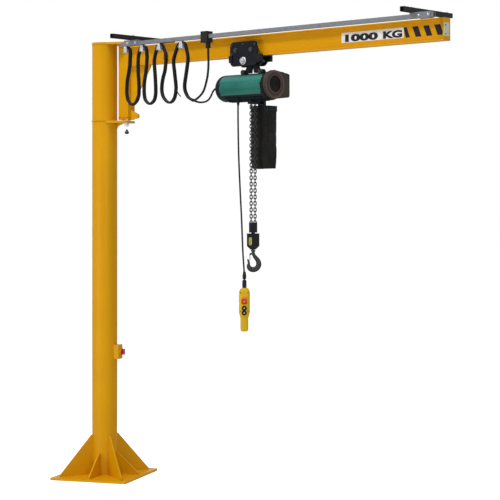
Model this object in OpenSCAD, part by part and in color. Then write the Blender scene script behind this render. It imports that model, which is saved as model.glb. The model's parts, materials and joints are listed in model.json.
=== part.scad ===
// Column-mounted jib crane with an electric chain hoist.
// Millimetres, +Z up. The origin is at the centre of the base plate's underside.
// The jib rests along +X. The column, its base plate and its pivot brackets stand turned from it.

/* [Column] */
// Outer diameter of the column tube
column_d = 219; // [200:1:235]
// Wall of the column tube
column_wall = 8; // [6:0.5:12]
// Height of the underside of the head plate
column_top = 3772; // [3740:1:3900]
// Turn of the column and its brackets from the jib's rest direction, in degrees
column_turn = 24; // [0:1:40]
// Side of the square base plate
base_side = 700; // [640:5:800]
// Thickness of the base plate
base_t = 22; // [16:1:30]
// Spacing of the anchor holes along each side
anchor_pitch = 600; // [560:5:610]
// Diameter of the anchor holes
anchor_d = 30; // [24:1:36]
// Height of the gussets to the plate's corners
corner_gusset_h = 345; // [250:5:420]
// Height of the gussets to the middles of its sides
side_gusset_h = 190; // [140:5:240]
// Thickness of the gussets
gusset_t = 12; // [8:1:16]

/* [Pivot] */
// Distance from the column's axis to the pivot axis
pivot_reach = 208; // [204:1:215]
// Thickness of the head plate and the lower bracket
bracket_t = 18; // [12:1:24]
// Height of the lower bracket's top face
lower_bracket_z = 3106; // [3000:1:3150]
// Diameter of the pivot pins
pin_d = 40; // [30:1:45]

/* [Jib] */
// Length of the post along the jib
post_l = 120; // [110:1:122]
// Width of the post across the jib
post_w = 80; // [70:1:84]
// Wall of the post
post_wall = 8; // [6:0.5:10]
// Distance from the pivot axis to the beam's tip
jib_reach = 3460; // [3400:10:3500]
// Height of the beam section
beam_h = 167; // [163:1:170]
// Width of the beam's flanges
beam_w = 82; // [78:1:86]
// Thickness of the flanges
flange_t = 8; // [7:0.5:9]
// Thickness of the web
web_t = 6; // [5:0.5:7]
// Height of the beam's underside
beam_z = 3579; // [3572:1:3584]
// Length of the knee plate along the beam
knee_l = 250; // [200:5:280]
// Height of the knee plate along the post
knee_h = 350; // [250:5:360]

/* [Festoon] */
// Side of the square support arms
arm_side = 36; // [32:1:36]
// Distance of the festoon rail from the beam's centre plane
rail_out = 388; // [360:1:420]
// Side of the C-section rail
rail_side = 32; // [30:1:36]
// Thickness of the flat cable
cable_t = 13; // [10:1:14]
// Width of the flat cable
cable_w = 28; // [22:1:32]

/* [Trolley] */
// Distance from the pivot axis to the trolley at rest
trolley_x = 1518; // [1505:1:1530]
// Length of the trolley's side plates
plate_l = 300; // [290:1:310]
// Thickness of the side plates
plate_t = 10; // [8:1:12]
// Tread radius of the wheels
wheel_r = 42; // [38:1:44]

/* [Hoist] */
// Radius of the hoist's motor housing
drum_r = 110; // [106:1:111]
// Height of the hoist's axis
drum_z = 3329; // [3326:1:3331]
// Distance between the two falls of the load chain
fall_gap = 46; // [44:1:48]
// Diameter of the chain's wire
wire_d = 8; // [7:0.5:8.5]
// Pitch of the chain's links
link_pitch = 26; // [25:0.5:27]
// Number of links in each fall
links = 38; // [34:1:38]

/* [Hook] */
// Height of the hook block's underside at rest
block_z = 2015; // [2000:1:2030]
// Radius of the hook's bowl, inside
bowl_r = 24; // [22:1:26]

/* [Hidden] */
$fn = 64;

// Clearance of pins and axles in their bores
running_gap = 0.4;
// Clearance between the post and the brackets, taken up by a washer
thrust_gap = 10;
// Clearance between pieces that slide or roll past each other
side_gap = 5;

pivot_x = pivot_reach*cos(column_turn);
pivot_y = pivot_reach*sin(column_turn);
post_z0 = lower_bracket_z + thrust_gap;
post_z1 = column_top - thrust_gap;
beam_top = beam_z + beam_h;
// Root radius of the beam section, and thickness of the plate that closes its tip
root_r = 9;
beam_end_t = 8;
// Trolley: wheels on stub axles in the side plates, whose middle lies at plate_x
wheel_in = web_t/2 + root_r + 1;
wheel_flange_in = beam_w/2 + 2;
wheel_flange_t = 6;
plate_in = wheel_flange_in + wheel_flange_t + 3;
plate_out = plate_in + plate_t;
plate_x = -50;
plate_h = 198;
plate_z = 3500;
axle_z = beam_z + flange_t + wheel_r + running_gap;
axle_d = 24;
wheel_dx = 85;
// Load bars between the side plates: the first runs right through, the second sits blind in the near plate
bar_z = 3542;
bar_x = [-52, 70];
bar_d = 30;
bar_seat = 6;
// Festoon: places along the jib of the anchor, the carriers and the tow carrier
anchor_x = 435;
carrier_x = [634, 839, 1098, 1375];
rail_gap = 11;
rail_z = beam_top - rail_side - rail_gap;
inner_arm_x = 514;
outer_arm_x = jib_reach - 18;
arm_y1 = 72;
inner_arm_l = 700;
outer_arm_l = 584;
rail_x0 = 370;
rail_x1 = 3636;
saddle_r = 36;
saddle_z = rail_z - 54;
loop_drop = 440;
loop_bulge = 28;
// Tow carrier: the stem that clamps the last loop's end, and where a saddle of that end would stand
tow_stem_x = 17;
tow_stem_z = rail_z - 78;
tow_loop_x = carrier_x[3] + tow_stem_x + saddle_r + cable_t/2 + 0.3;
// Hoist: its ends along the axis, and the end cover's own axis
hoist_x0 = -358;
hoist_x1 = 212;
cover_x0 = -278;
cover_gap = 28;
cover_t = 5;
end_cover_l = 22;
end_cover_r = 116;
end_cover_at = [5, drum_z + 12];
control_y = 181;
gland_l = 12;
// Chain guide: one block for the falls and one for the slack chain that runs down into the bag
guide_w = 40;
guide_z = 3192;
slack_y = 105;
guide_hole = 2*wire_d + 10;
// Chain bag and the frame that it hangs from
bag_at = [2, 125];
bag_size = [190, 126, 505];
bag_z = guide_z - 15 - bag_size[2];
bag_wall = 4;
rim_h = 45;
rim_t = 6;
block_top = block_z + 130;
end_plate_t = 20;
// Hook: centre of its bowl, its neck, and the radial depth of its section
bowl_z = block_z - 117;
neck_z = 100;
hook_depth = 44;
shank_d = 25;
latch_pin_d = 6;
latch_at = [-21, 80];
hook_turn = 40;
isolator_z = 1090;
isolator_w = 84;
// Pendant: where it hangs from the trolley's middle, its turn, and the cable's route
pendant_at = [36, -140];
pendant_turn = -48;
pendant_z = 1362;
button_z = [1622, 1550, 1515];
pendant_route = [[-130, -40, 3222], [-130, -41, 3150], [-126, -44, 3020], [-110, -54, 2780], [-80, -70, 2520],
                 [-43, -90, 2260], [-8, -113, 2020], [24, -132, 1860], [36, -140, 1790], [36, -140, 1762]];
pendant_cable_r = 7;
// Cable from the clamp on the last loop to the hoist's end, on the jib
feed_route = [[1224, -374, 3209], [1224, -354, 3208], [1196, -300, 3205], [1160, -230, 3211], [1126, -162, 3228],
              [1102, -110, 3254], [1090, -76, 3286], [1106, -57, 3315], [1130, -50, 3329], [1147.5, -50, 3329]];
yellow = [0.80, 0.57, 0.03];
black = [0.08, 0.08, 0.09];
zinc = [0.62, 0.63, 0.64];
teal = [0.10, 0.48, 0.42];

// Places its children on the jib, with x measured from the pivot axis
module on_jib() {
    translate([pivot_x, pivot_y, 0]) children();
}

// Places its children on the trolley, with x measured from its centre
module on_trolley() {
    translate([pivot_x + trolley_x, pivot_y, 0]) children();
}

// Turns its children with the column
module on_column() {
    rotate([0, 0, column_turn]) children();
}

// A cylinder along Y, centred on the origin
module y_cylinder(d, l) {
    rotate([90, 0, 0]) cylinder(d = d, h = l, center = true);
}

// A cylinder along X from the origin
module x_cylinder(d, l) {
    rotate([0, 90, 0]) cylinder(d = d, h = l);
}

// A box centred in X and Y, standing at z
module box_at(size, z) {
    translate([-size[0]/2, -size[1]/2, z]) cube(size);
}

// A flat box with four round corners
module round_box(size, r, z) {
    translate([0, 0, z]) linear_extrude(size[2]) {
        square([size[0] - 2*r, size[1]], center = true);
        square([size[0], size[1] - 2*r], center = true);
        for (sx = [-1, 1], sy = [-1, 1])
            translate([sx*(size[0]/2 - r), sy*(size[1]/2 - r)]) circle(r = r);
    }
}

module base_plate() {
    color(yellow) on_column() difference() {
        box_at([base_side, base_side, base_t], 0);
        for (sx = [-1, 1], sy = [-1, 1])
            translate([sx*anchor_pitch/2, sy*anchor_pitch/2, -1])
                cylinder(d = anchor_d, h = base_t + 2);
    }
}

// One upright gusset that reaches out along +X from the column
module gusset(reach, h) {
    toe = 14;
    start = column_d/2 - 0.6;
    translate([0, gusset_t/2, base_t]) rotate([90, 0, 0]) linear_extrude(gusset_t)
        polygon([[start, 0], [reach, 0], [reach, toe], [start + toe, h], [start, h]]);
}

module gussets() {
    color(yellow) on_column() difference() {
        for (i = [0:3]) {
            rotate([0, 0, 90*i + 45]) gusset(base_side*0.585, corner_gusset_h);
            rotate([0, 0, 90*i]) gusset(base_side/2 - 25, side_gusset_h);
        }
        translate([0, 0, base_t - 1]) cylinder(d = column_d, h = corner_gusset_h + 10);
    }
}

module column_tube() {
    color(yellow) translate([0, 0, base_t]) difference() {
        cylinder(d = column_d, h = column_top - base_t, $fn = 96);
        translate([0, 0, -1]) cylinder(d = column_d - 2*column_wall, h = column_top - base_t + 2, $fn = 96);
    }
}

// Outline shared by the head plate and the lower bracket: a little narrower than the column, with round corners
module bracket_outline() {
    nose_r = 40;
    half_w = 98;
    end_x = pivot_reach + 50;
    translate([0, -half_w]) square([end_x - nose_r, 2*half_w]);
    translate([0, -half_w + nose_r]) square([end_x, 2*(half_w - nose_r)]);
    for (s = [-1, 1]) translate([end_x - nose_r, s*(half_w - nose_r)]) circle(r = nose_r);
}

module head_plate() {
    color(yellow) on_column() translate([0, 0, column_top]) linear_extrude(bracket_t) difference() {
        union() {
            circle(r = column_d/2 + 4, $fn = 96);
            bracket_outline();
        }
        translate([pivot_reach, 0]) circle(d = pin_d);
    }
}

module lower_bracket() {
    rib_reach = 56;
    rib_h = 63;
    rib_cut = 50;
    under = lower_bracket_z - bracket_t;
    color(yellow) on_column() {
        translate([0, 0, under]) linear_extrude(bracket_t) difference() {
            bracket_outline();
            circle(d = column_d, $fn = 96);
            translate([pivot_reach, 0]) circle(d = pin_d);
        }
        difference() {
            translate([0, gusset_t/2, under - rib_h]) rotate([90, 0, 0]) linear_extrude(gusset_t) difference() {
                translate([column_d/2 - 2, 0]) square([rib_reach + 2, rib_h]);
                translate([column_d/2 + rib_reach, 0]) circle(r = rib_cut);
            }
            translate([0, 0, under - rib_h - 1]) cylinder(d = column_d, h = rib_h + 1, $fn = 96);
        }
    }
}

// A pivot pin with its washer in the gap and a hexagon nut outside the bracket
module pivot_pin(len_in) {
    cylinder(d = pin_d, h = bracket_t + thrust_gap + len_in);
    translate([0, 0, bracket_t]) cylinder(d = pin_d + 32, h = thrust_gap - 1);
    translate([0, 0, -20]) cylinder(d = pin_d + 10, h = 20, $fn = 6);
    translate([0, 0, -30]) cylinder(d = pin_d - 10, h = 12);
}

module pivot_pins() {
    color(zinc) on_column() translate([pivot_reach, 0, 0]) {
        translate([0, 0, lower_bracket_z - bracket_t]) pivot_pin(60);
        translate([0, 0, column_top + bracket_t]) mirror([0, 0, 1]) pivot_pin(60);
    }
}

module isolator_box() {
    color(yellow) on_column() difference() {
        translate([column_d/2 - 12, -isolator_w/2, isolator_z - 62]) cube([52, isolator_w, 124]);
        translate([0, 0, isolator_z - 70]) cylinder(d = column_d, h = 140, $fn = 96);
    }
    color(black) on_column() translate([column_d/2 + 40, 0, isolator_z]) x_cylinder(66, 14);
}

module isolator_knob() {
    color([0.75, 0.1, 0.08]) on_column() translate([column_d/2 + 54.5, 0, isolator_z]) {
        x_cylinder(54, 6);
        translate([0, -9, -25]) cube([26, 18, 50]);
    }
}

module jib_post() {
    l = post_z1 - post_z0 - 2*end_plate_t;
    color(yellow) on_jib() difference() {
        box_at([post_l, post_w, l], post_z0 + end_plate_t);
        box_at([post_l - 2*post_wall, post_w - 2*post_wall, l + 2], post_z0 + end_plate_t - 1);
    }
}

module post_end_plates() {
    color(yellow) on_jib() {
        difference() {
            box_at([post_l, post_w, end_plate_t], post_z0);
            translate([0, 0, post_z0 - 1]) cylinder(d = pin_d + 2*running_gap, h = end_plate_t + 2);
        }
        difference() {
            box_at([post_l, post_w, end_plate_t], post_z1 - end_plate_t);
            translate([0, 0, post_z1 - end_plate_t - 1]) cylinder(d = pin_d + 2*running_gap, h = end_plate_t + 2);
        }
        stop_lug();
    }
}

// Upright lug at the foot of the post, which meets the stops at the ends of the swing
module stop_lug() {
    t = 20;
    nose_r = 22;
    nose = [post_l/2 + 74, post_z0 + 29];
    translate([0, t/2, 0]) rotate([90, 0, 0]) linear_extrude(t) {
        polygon([[post_l/2, post_z0], [nose[0], nose[1] - nose_r], [nose[0], nose[1] + nose_r],
                 [post_l/2, post_z0 + 82]]);
        translate(nose) circle(r = nose_r);
    }
}

module knee_plate() {
    t = 12;
    low = beam_z - knee_h;
    color(yellow) on_jib() translate([0, t/2, 0]) rotate([90, 0, 0]) linear_extrude(t)
        polygon([[post_l/2, low], [post_l/2 + 16, low], [post_l/2 + knee_l, beam_z - 14],
                 [post_l/2 + knee_l, beam_z], [post_l/2, beam_z]]);
}

module jib_beam() {
    color(yellow) on_jib() translate([post_l/2, 0, beam_z]) rotate([90, 0, 90])
        linear_extrude(jib_reach - beam_end_t - post_l/2) beam_section();
}

// I-section with round roots between its web and its flanges
module beam_section() {
    web_h = beam_h - 2*flange_t;
    translate([-beam_w/2, 0]) square([beam_w, flange_t]);
    translate([-beam_w/2, beam_h - flange_t]) square([beam_w, flange_t]);
    difference() {
        translate([-web_t/2 - root_r, flange_t]) square([web_t + 2*root_r, web_h]);
        for (s = [-1, 1]) {
            for (z = [flange_t + root_r, beam_h - flange_t - root_r])
                translate([s*(web_t/2 + root_r), z]) circle(r = root_r);
            translate([s*(web_t/2 + root_r) - root_r, flange_t + root_r]) square([2*root_r, web_h - 2*root_r]);
        }
    }
}

// Stops for the trolley: a block on each side of the web near the post, and a plate across the tip
module beam_end_stops() {
    size = [24, 30, 34];
    inner_x = 490;
    color(yellow) on_jib() {
        for (s = [-1, 1]) translate([inner_x, s*(web_t/2 + size[1]/2), axle_z - 10]) box_at(size, 0);
        translate([jib_reach - beam_end_t, -beam_w/2, beam_z]) cube([beam_end_t, beam_w, beam_h]);
    }
}

// A channel that lies across the beam, open below, and reaches out to the rail
module support_arm(x, l) {
    wall = 3;
    translate([x - arm_side/2, arm_y1 - l, beam_top]) difference() {
        cube([arm_side, l, arm_side]);
        translate([wall, -1, -1]) cube([arm_side - 2*wall, l + 2, arm_side - wall + 1]);
    }
}

module support_arms() {
    color(black) on_jib() {
        support_arm(inner_arm_x, inner_arm_l);
        support_arm(outer_arm_x, outer_arm_l);
    }
}

module festoon_rail() {
    t = 2.5;
    s = rail_side;
    lip = 8;
    color(zinc) on_jib() translate([rail_x0, -rail_out, rail_z]) rotate([90, 0, 90])
        linear_extrude(rail_x1 - rail_x0) difference() {
            translate([-s/2, 0]) square([s, s]);
            translate([-s/2 + t, t]) square([s - 2*t, s - 2*t]);
            translate([-s/2 + lip, -1]) square([s - 2*lip, t + 2]);
        }
}

// A bar under a support arm, along the rail's top, and a clamp of two cheeks that grips the rail
module rail_hanger(bar_x0, bar_x1, clamp_x0, clamp_x1) {
    cheek_t = 5;
    bar_w = 24;
    translate([bar_x0, -bar_w/2, rail_z + rail_side]) cube([bar_x1 - bar_x0, bar_w, rail_gap]);
    difference() {
        translate([clamp_x0, -rail_side/2 - cheek_t, rail_z - 4])
            cube([clamp_x1 - clamp_x0, rail_side + 2*cheek_t, rail_side + rail_gap + 4]);
        translate([clamp_x0 - 1, -rail_side/2, rail_z - 5]) cube([clamp_x1 - clamp_x0 + 2, rail_side, rail_side + 5]);
    }
}

module rail_hangers() {
    clamp_l = 130;
    color(zinc) on_jib() translate([0, -rail_out, 0]) {
        rail_hanger(inner_arm_x - clamp_l/2, inner_arm_x + clamp_l/2, inner_arm_x - clamp_l/2, inner_arm_x + clamp_l/2);
        rail_hanger(outer_arm_x - arm_side/2, rail_x1 - 22, rail_x1 - 140, rail_x1 - 20);
    }
}

module cable_anchor() {
    color(zinc) on_jib() translate([anchor_x, -rail_out, 0]) {
        box_at([14, 12, 20], rail_z - 14);
        saddle();
    }
}

// Half-round saddle that the flat cable lies on, its axis along Y
module saddle() {
    w = 36;
    translate([0, 0, saddle_z]) difference() {
        y_cylinder(2*saddle_r, w);
        translate([-2*saddle_r, -w, -4*saddle_r]) cube([4*saddle_r, 2*w, 4*saddle_r]);
        y_cylinder(2*saddle_r - 10, w + 2);
    }
    translate([0, 0, saddle_z]) box_at([2*saddle_r - 4, w, 5], 0);
    box_at([8, w, rail_z - 14 - saddle_z], saddle_z);
}

module carrier_at(x) {
    color(zinc) on_jib() translate([x, -rail_out, 0]) {
        box_at([14, 8, 32], rail_z - 14);
        saddle();
        for (s = [-1, 1]) translate([0, s*8, rail_z + 12]) y_cylinder(16, 7);
        translate([0, 0, rail_z + 12]) y_cylinder(8, 22);
    }
}

module carrier_1() { carrier_at(carrier_x[0]); }
module carrier_2() { carrier_at(carrier_x[1]); }
module carrier_3() { carrier_at(carrier_x[2]); }

// Tow carrier: a collar around the rail, rollers inside it and a stem that holds the end of the last loop
module tow_carrier() {
    collar = [72, 66, 91];
    collar_z = rail_z - 35;
    room = rail_side + 2*side_gap;
    color(black) on_jib() translate([carrier_x[3], -rail_out, 0]) {
        difference() {
            box_at(collar, collar_z);
            box_at([collar[0] + 2, room, room], rail_z - side_gap);
        }
        box_at([60, 8, 22], rail_z - 12);
        for (dx = [-20, 20]) {
            for (s = [-1, 1]) translate([dx, s*8, rail_z + 12]) y_cylinder(16, 7);
            translate([dx, 0, rail_z + 12]) y_cylinder(8, 22);
        }
        translate([tow_stem_x, 0, 0]) box_at([24, 34, collar_z - tow_stem_z], tow_stem_z);
    }
}

// Centre line of a loop of flat cable with a half gap g at its top and a depth d, for an angle a from 0 to 180.
// It starts over the first saddle, hangs down in a drop shape and ends over the second.
function drop_side(g, a) = (cos(a) < 0 ? 1 : -1)*(g + loop_bulge*pow(sin(a), 2))*sqrt(1 - pow(sin(a), 8));
function drop_line(g, d) = [for (a = [0:9:180]) [drop_side(g, a), -d*sin(a)]];
function over_saddle(x, r, from, to) = [for (a = [from:-8:to]) [x + r*cos(a), r*sin(a)]];

// Normal of a line of points at its place i
function line_normal(p, i) =
    let (a = p[max(i - 1, 0)], b = p[min(i + 1, len(p) - 1)], d = (b - a)/norm(b - a)) [-d[1], d[0]];
function ribbon(p, t) = concat(
    [for (i = [0:len(p) - 1]) p[i] + line_normal(p, i)*t/2],
    [for (i = [len(p) - 1:-1:0]) p[i] - line_normal(p, i)*t/2]);

// A loop between two saddles; tow is true where it ends in the tow carrier instead of over a saddle
module festoon_loop(x0, x1, w, tow = false) {
    r = saddle_r + cable_t/2 + 0.3;
    half = (x1 - x0)/2;
    g = half - r;
    drop = drop_line(g, loop_drop);
    line = concat(over_saddle(-half, r, 72, 8),
                  tow ? [for (p = drop) if (p[0] < 0 || p[1] < 2*(tow_stem_z - saddle_z)) p] : drop,
                  tow ? [[g, tow_stem_z - saddle_z]] : over_saddle(half, r, 172, 108));
    color(black) on_jib() translate([(x0 + x1)/2, -rail_out + w/2, saddle_z]) rotate([90, 0, 0])
        linear_extrude(w) polygon(ribbon(line, cable_t));
}

module festoon_loop_1() { festoon_loop(anchor_x, carrier_x[0], cable_w); }
module festoon_loop_2() { festoon_loop(carrier_x[0], carrier_x[1], cable_w); }
module festoon_loop_3() { festoon_loop(carrier_x[1], carrier_x[2], cable_w); }
module festoon_loop_4() { festoon_loop(carrier_x[2], tow_loop_x, cable_w, tow = true); }

// A tube of n sides swept along the points of a route
function ring_frame(p, i) =
    let (t = (p[min(i + 1, len(p) - 1)] - p[max(i - 1, 0)]))
    t/norm(t);
function tube_points(p, r, n) = [for (i = [0:len(p) - 1])
    let (t = ring_frame(p, i), side = cross(t, [0.3, 1, 0.2]), u = side/norm(side), v = cross(t, u))
    for (k = [0:n - 1]) p[i] + r*(cos(360*k/n)*u + sin(360*k/n)*v)];
module tube(p, r, n = 8) {
    m = len(p);
    sides = [for (i = [0:m - 2], k = [0:n - 1], half = [0, 1])
        half == 0 ? [i*n + k, (i + 1)*n + k, (i + 1)*n + (k + 1)%n]
                  : [i*n + k, (i + 1)*n + (k + 1)%n, i*n + (k + 1)%n]];
    first = [[for (k = [0:n - 1]) k]];
    last = [[for (k = [n - 1:-1:0]) (m - 1)*n + k]];
    polyhedron(tube_points(p, r, n), concat(sides, first, last));
}

module hoist_feed_cable() {
    color(black) on_jib() tube(feed_route, 7);
}

// One side plate with its two stub axles and a bumper at each end; s is -1 for the near one
module trolley_plate(s) {
    corner_r = 40;
    bumper = [56, 26, 56];
    bumper_out = [7, 50];
    short_l = plate_l/2 + bumper_out[0] - wheel_dx - 36;
    translate([plate_x, s*(plate_in + plate_t/2), 0]) {
        difference() {
            translate([0, plate_t/2, plate_z + plate_h/2]) rotate([90, 0, 0])
                round_box([plate_l, plate_h, plate_t], corner_r, 0);
            for (i = [0, 1]) {
                blind = s < 0 && i == 1 ? plate_t - bar_seat + 1 : 0;
                translate([bar_x[i] - plate_x, blind, bar_z]) y_cylinder(bar_d, plate_t + 2);
            }
        }
        translate([-plate_l/2 - bumper_out[0] + short_l/2, 0, plate_z + 32]) box_at([short_l, bumper[1], bumper[2]], 0);
        translate([plate_l/2 + bumper_out[1] - bumper[0]/2, 0, plate_z + 32]) box_at(bumper, 0);
    }
    for (dx = [-wheel_dx, wheel_dx]) translate([plate_x + dx, s*(wheel_in + plate_in + 2)/2, axle_z])
        y_cylinder(axle_d, plate_in - wheel_in + 2);
}

module trolley_plates() {
    color(black) on_trolley() {
        trolley_plate(-1);
        trolley_plate(1);
    }
}

module wheel(dx, s) {
    tread = wheel_flange_in - wheel_in;
    color([0.35, 0.35, 0.36]) on_trolley()
        translate([plate_x + dx, s*wheel_in, axle_z]) rotate([-90*s, 0, 0]) difference() {
            union() {
                cylinder(r = wheel_r, h = tread);
                translate([0, 0, tread]) cylinder(r = wheel_r + 7, h = wheel_flange_t);
            }
            translate([0, 0, -1]) cylinder(d = axle_d + 2*running_gap, h = tread + wheel_flange_t + 2);
        }
}

module wheel_1() { wheel(-wheel_dx, -1); }
module wheel_2() { wheel(wheel_dx, -1); }
module wheel_3() { wheel(-wheel_dx, 1); }
module wheel_4() { wheel(wheel_dx, 1); }

module load_bars() {
    nut_t = 18;
    far = plate_out + nut_t + 6;
    near = [-far, -plate_in - bar_seat];
    color(zinc) on_trolley() {
        for (i = [0, 1]) translate([bar_x[i], 0, bar_z]) {
            translate([0, (near[i] + far)/2, 0]) y_cylinder(bar_d, far - near[i]);
            translate([0, plate_out + nut_t/2, 0]) rotate([90, 30, 0]) cylinder(d = 50, h = nut_t, center = true, $fn = 6);
        }
        translate([bar_x[0], -plate_out - nut_t/2, bar_z]) rotate([90, 30, 0])
            cylinder(d = 50, h = nut_t, center = true, $fn = 6);
    }
}

// Room taken by the motor housing, with a gap around it
module drum_room(gap) {
    translate([hoist_x0 - 1, 0, drum_z]) x_cylinder(2*(drum_r + gap), hoist_x1 - hoist_x0 + 2);
}

module suspension_bracket() {
    t = 26;
    top = bar_z + 22;
    waist = bar_z - 44;
    lug_top = 3472;
    foot = drum_z + drum_r - 20;
    half = bar_x[1] + 24;
    color(black) on_trolley() difference() {
        translate([0, t/2, 0]) rotate([90, 0, 0]) linear_extrude(t) difference() {
            polygon([[-half, top], [-half, bar_z - 20], [-60, waist], [-72, lug_top], [-118, lug_top - 8], [-118, foot],
                     [118, foot], [118, lug_top - 8], [72, lug_top], [60, waist], [half, bar_z - 20], [half, top]]);
            polygon([[-9, waist], [9, waist], [24, foot - 1], [-24, foot - 1]]);
        }
        for (x = bar_x) translate([x, 0, bar_z]) y_cylinder(bar_d + 0.2, t + 2);
        drum_room(cover_t + 0.1);
    }
}

// Outline of the motor housing, with a round end, turned about the hoist's axis
module hoist_body() {
    r = 60;
    l = hoist_x1 - hoist_x0;
    color(black) on_trolley() translate([hoist_x0, 0, drum_z]) rotate([0, 90, 0])
        rotate_extrude($fn = 72) {
            square([drum_r - r, l]);
            translate([0, r]) square([drum_r, l - r]);
            intersection() {
                translate([drum_r - r, r]) circle(r = r);
                square([drum_r, l]);
            }
        }
}

module hoist_cover() {
    l = hoist_x1 - cover_gap - cover_x0;
    reach = 2*drum_r;
    color(teal) on_trolley() translate([cover_x0, 0, drum_z]) intersection() {
        difference() {
            x_cylinder(2*(drum_r + cover_t), l);
            translate([-1, 0, 0]) x_cylinder(2*(drum_r + 0.1), l + 2);
        }
        rotate([90, 0, 90]) translate([0, 0, -1]) linear_extrude(l + 2)
            polygon([[0, 0], [-reach, -reach*0.71], [-reach, reach], [-reach*0.695, reach]]);
    }
}

module end_cover() {
    recess_r = 68;
    corner_r = 14;
    color([0.25, 0.23, 0.21]) on_trolley() translate([hoist_x1, 0, 0]) rotate([90, 0, 90]) {
        linear_extrude(end_cover_l) difference() {
            end_outline(corner_r);
            translate(end_cover_at + [6, 6]) circle(r = recess_r);
        }
        linear_extrude(end_cover_l/2) translate(end_cover_at + [6, 6]) circle(r = recess_r);
    }
}

// Outline of the hoist's end: a disc on the drum's axis, run out on one side to the control box
module end_outline(corner_r) {
    low = end_cover_at[1] - 96;
    high = end_cover_at[1] + 93;
    translate(end_cover_at) circle(r = end_cover_r);
    difference() {
        polygon([end_cover_at + [0, -end_cover_r], [control_y, low], [control_y, high], end_cover_at + [0, end_cover_r]]);
        translate([control_y - corner_r, high - corner_r]) square(2*corner_r);
        translate([control_y - corner_r, low - corner_r]) square(2*corner_r);
    }
    for (z = [low + corner_r + 1, high - corner_r - 1]) translate([control_y - corner_r, z]) circle(r = corner_r);
    translate([control_y - corner_r - 1, low + corner_r]) square([1, high - low - 2*corner_r]);
}

module control_box() {
    l = 120;
    color([0.25, 0.23, 0.21]) on_trolley() translate([hoist_x1 - l, 0, 0]) difference() {
        rotate([90, 0, 90]) linear_extrude(l) intersection() {
            end_outline(14);
            translate([40, drum_z - 200]) square([200, 400]);
        }
        translate([-hoist_x1 + l, 0, 0]) drum_room(cover_t + 0.4);
    }
}

// A block under the motor housing from y0 to y1, with an upright hole at each place in holes
module guide_block(y0, y1, h, holes) {
    difference() {
        translate([-guide_w/2, y0, guide_z]) cube([guide_w, y1 - y0, h]);
        drum_room(0.1);
        for (y = holes) translate([0, y, guide_z - 1]) box_at([guide_hole, guide_hole, h + 2], 0);
    }
}

module chain_guide() {
    wall = 7;
    reach = fall_gap/2 + guide_hole/2 + wall;
    color(black) on_trolley() {
        guide_block(-reach, reach, 60, [-fall_gap/2, fall_gap/2]);
        guide_block(slack_y - guide_hole/2 - wall, slack_y + guide_hole/2 + wall, 108, [slack_y]);
    }
}

// Rim that the bag hangs from, with a strap across it and an arm up the slack guide at each side
module bag_frame() {
    outer = [bag_size[0] + 2*rim_t, bag_size[1] + 2*rim_t, rim_h];
    top = bag_z + bag_size[2] + 4;
    arm = [12, 30, 44];
    arm_x = guide_w/2 + arm[0]/2;
    color(black) on_trolley() {
        translate([bag_at[0], bag_at[1], 0]) difference() {
            round_box(outer, 30, top - rim_h);
            round_box([bag_size[0], bag_size[1], rim_h + 2], 24, top - rim_h - 1);
        }
        for (s = [-1, 1]) {
            translate([s*arm_x, bag_at[1], 0]) box_at([arm[0], outer[1] - rim_t, 4], top - 4);
            translate([s*arm_x, slack_y, 0]) box_at(arm, top - 3);
        }
    }
}

module chain_bag() {
    color([0.07, 0.07, 0.07]) on_trolley() translate([bag_at[0], bag_at[1], 0]) difference() {
        round_box(bag_size, 24, bag_z);
        round_box([bag_size[0] - 2*bag_wall, bag_size[1] - 2*bag_wall, bag_size[2]], 20, bag_z + bag_wall);
    }
}

// One link standing along Z: two straight sides and two half-round ends
module link() {
    r = wire_d/2;
    mid = wire_d/2 + 5.6;
    half = (link_pitch + 0.4)/2 + r - mid;
    for (s = [-1, 1]) {
        translate([s*mid, 0, -half]) cylinder(r = r, h = 2*half, $fn = 24);
        translate([0, 0, s*half]) rotate([90, 0, 0]) rotate([0, 0, s > 0 ? 0 : 180])
            rotate_extrude(angle = 180, $fn = 36) translate([mid, 0]) circle(r = r, $fn = 24);
    }
}

module chain_fall(y) {
    for (i = [0:links - 1])
        translate([0, y, block_top + 74 + link_pitch*(i + 0.5)]) rotate([0, 0, i%2 == 0 ? 45 : -45]) link();
}

module load_chain() {
    color([0.2, 0.2, 0.2]) on_trolley() {
        chain_fall(-fall_gap/2);
        chain_fall(fall_gap/2);
    }
}

module pendant_cable() {
    color(black) on_trolley() tube(pendant_route, pendant_cable_r);
}

module pendant_gland() {
    top = pendant_z + 350;
    color(black) on_trolley() translate([pendant_at[0], pendant_at[1], 0]) {
        translate([0, 0, top]) cylinder(d = 30, h = 22);
        translate([0, 0, top + 22]) cylinder(d = 20, h = 28);
    }
}

// Glands where the pendant's cable and the feed cable enter the hoist
module cable_entries() {
    feed_y = feed_route[9][1];
    nut_l = 8;
    color(black) on_trolley() {
        difference() {
            translate(pendant_route[0]) cylinder(d = 30, h = drum_r/2);
            drum_room(0.1);
        }
        translate([hoist_x0 - gland_l, feed_y, drum_z]) x_cylinder(28, nut_l);
        translate([hoist_x0 - gland_l + nut_l, feed_y, drum_z]) x_cylinder(22, gland_l - nut_l);
    }
}

// Places its children on the pendant, whose front looks along X
module on_pendant() {
    on_trolley() translate([pendant_at[0], pendant_at[1], 0]) rotate([0, 0, pendant_turn]) children();
}

module pendant_body() {
    color([0.88, 0.72, 0.08]) on_pendant() difference() {
        union() {
            round_box([64, 88, 230], 18, pendant_z + 120);
            round_box([52, 62, 121], 16, pendant_z);
        }
        for (z = button_z) translate([26, 0, z]) x_cylinder(36, 20);
    }
}

module pendant_buttons() {
    color([0.7, 0.1, 0.05]) on_pendant() for (z = button_z) translate([26.2, 0, z]) x_cylinder(34, 13);
}

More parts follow.
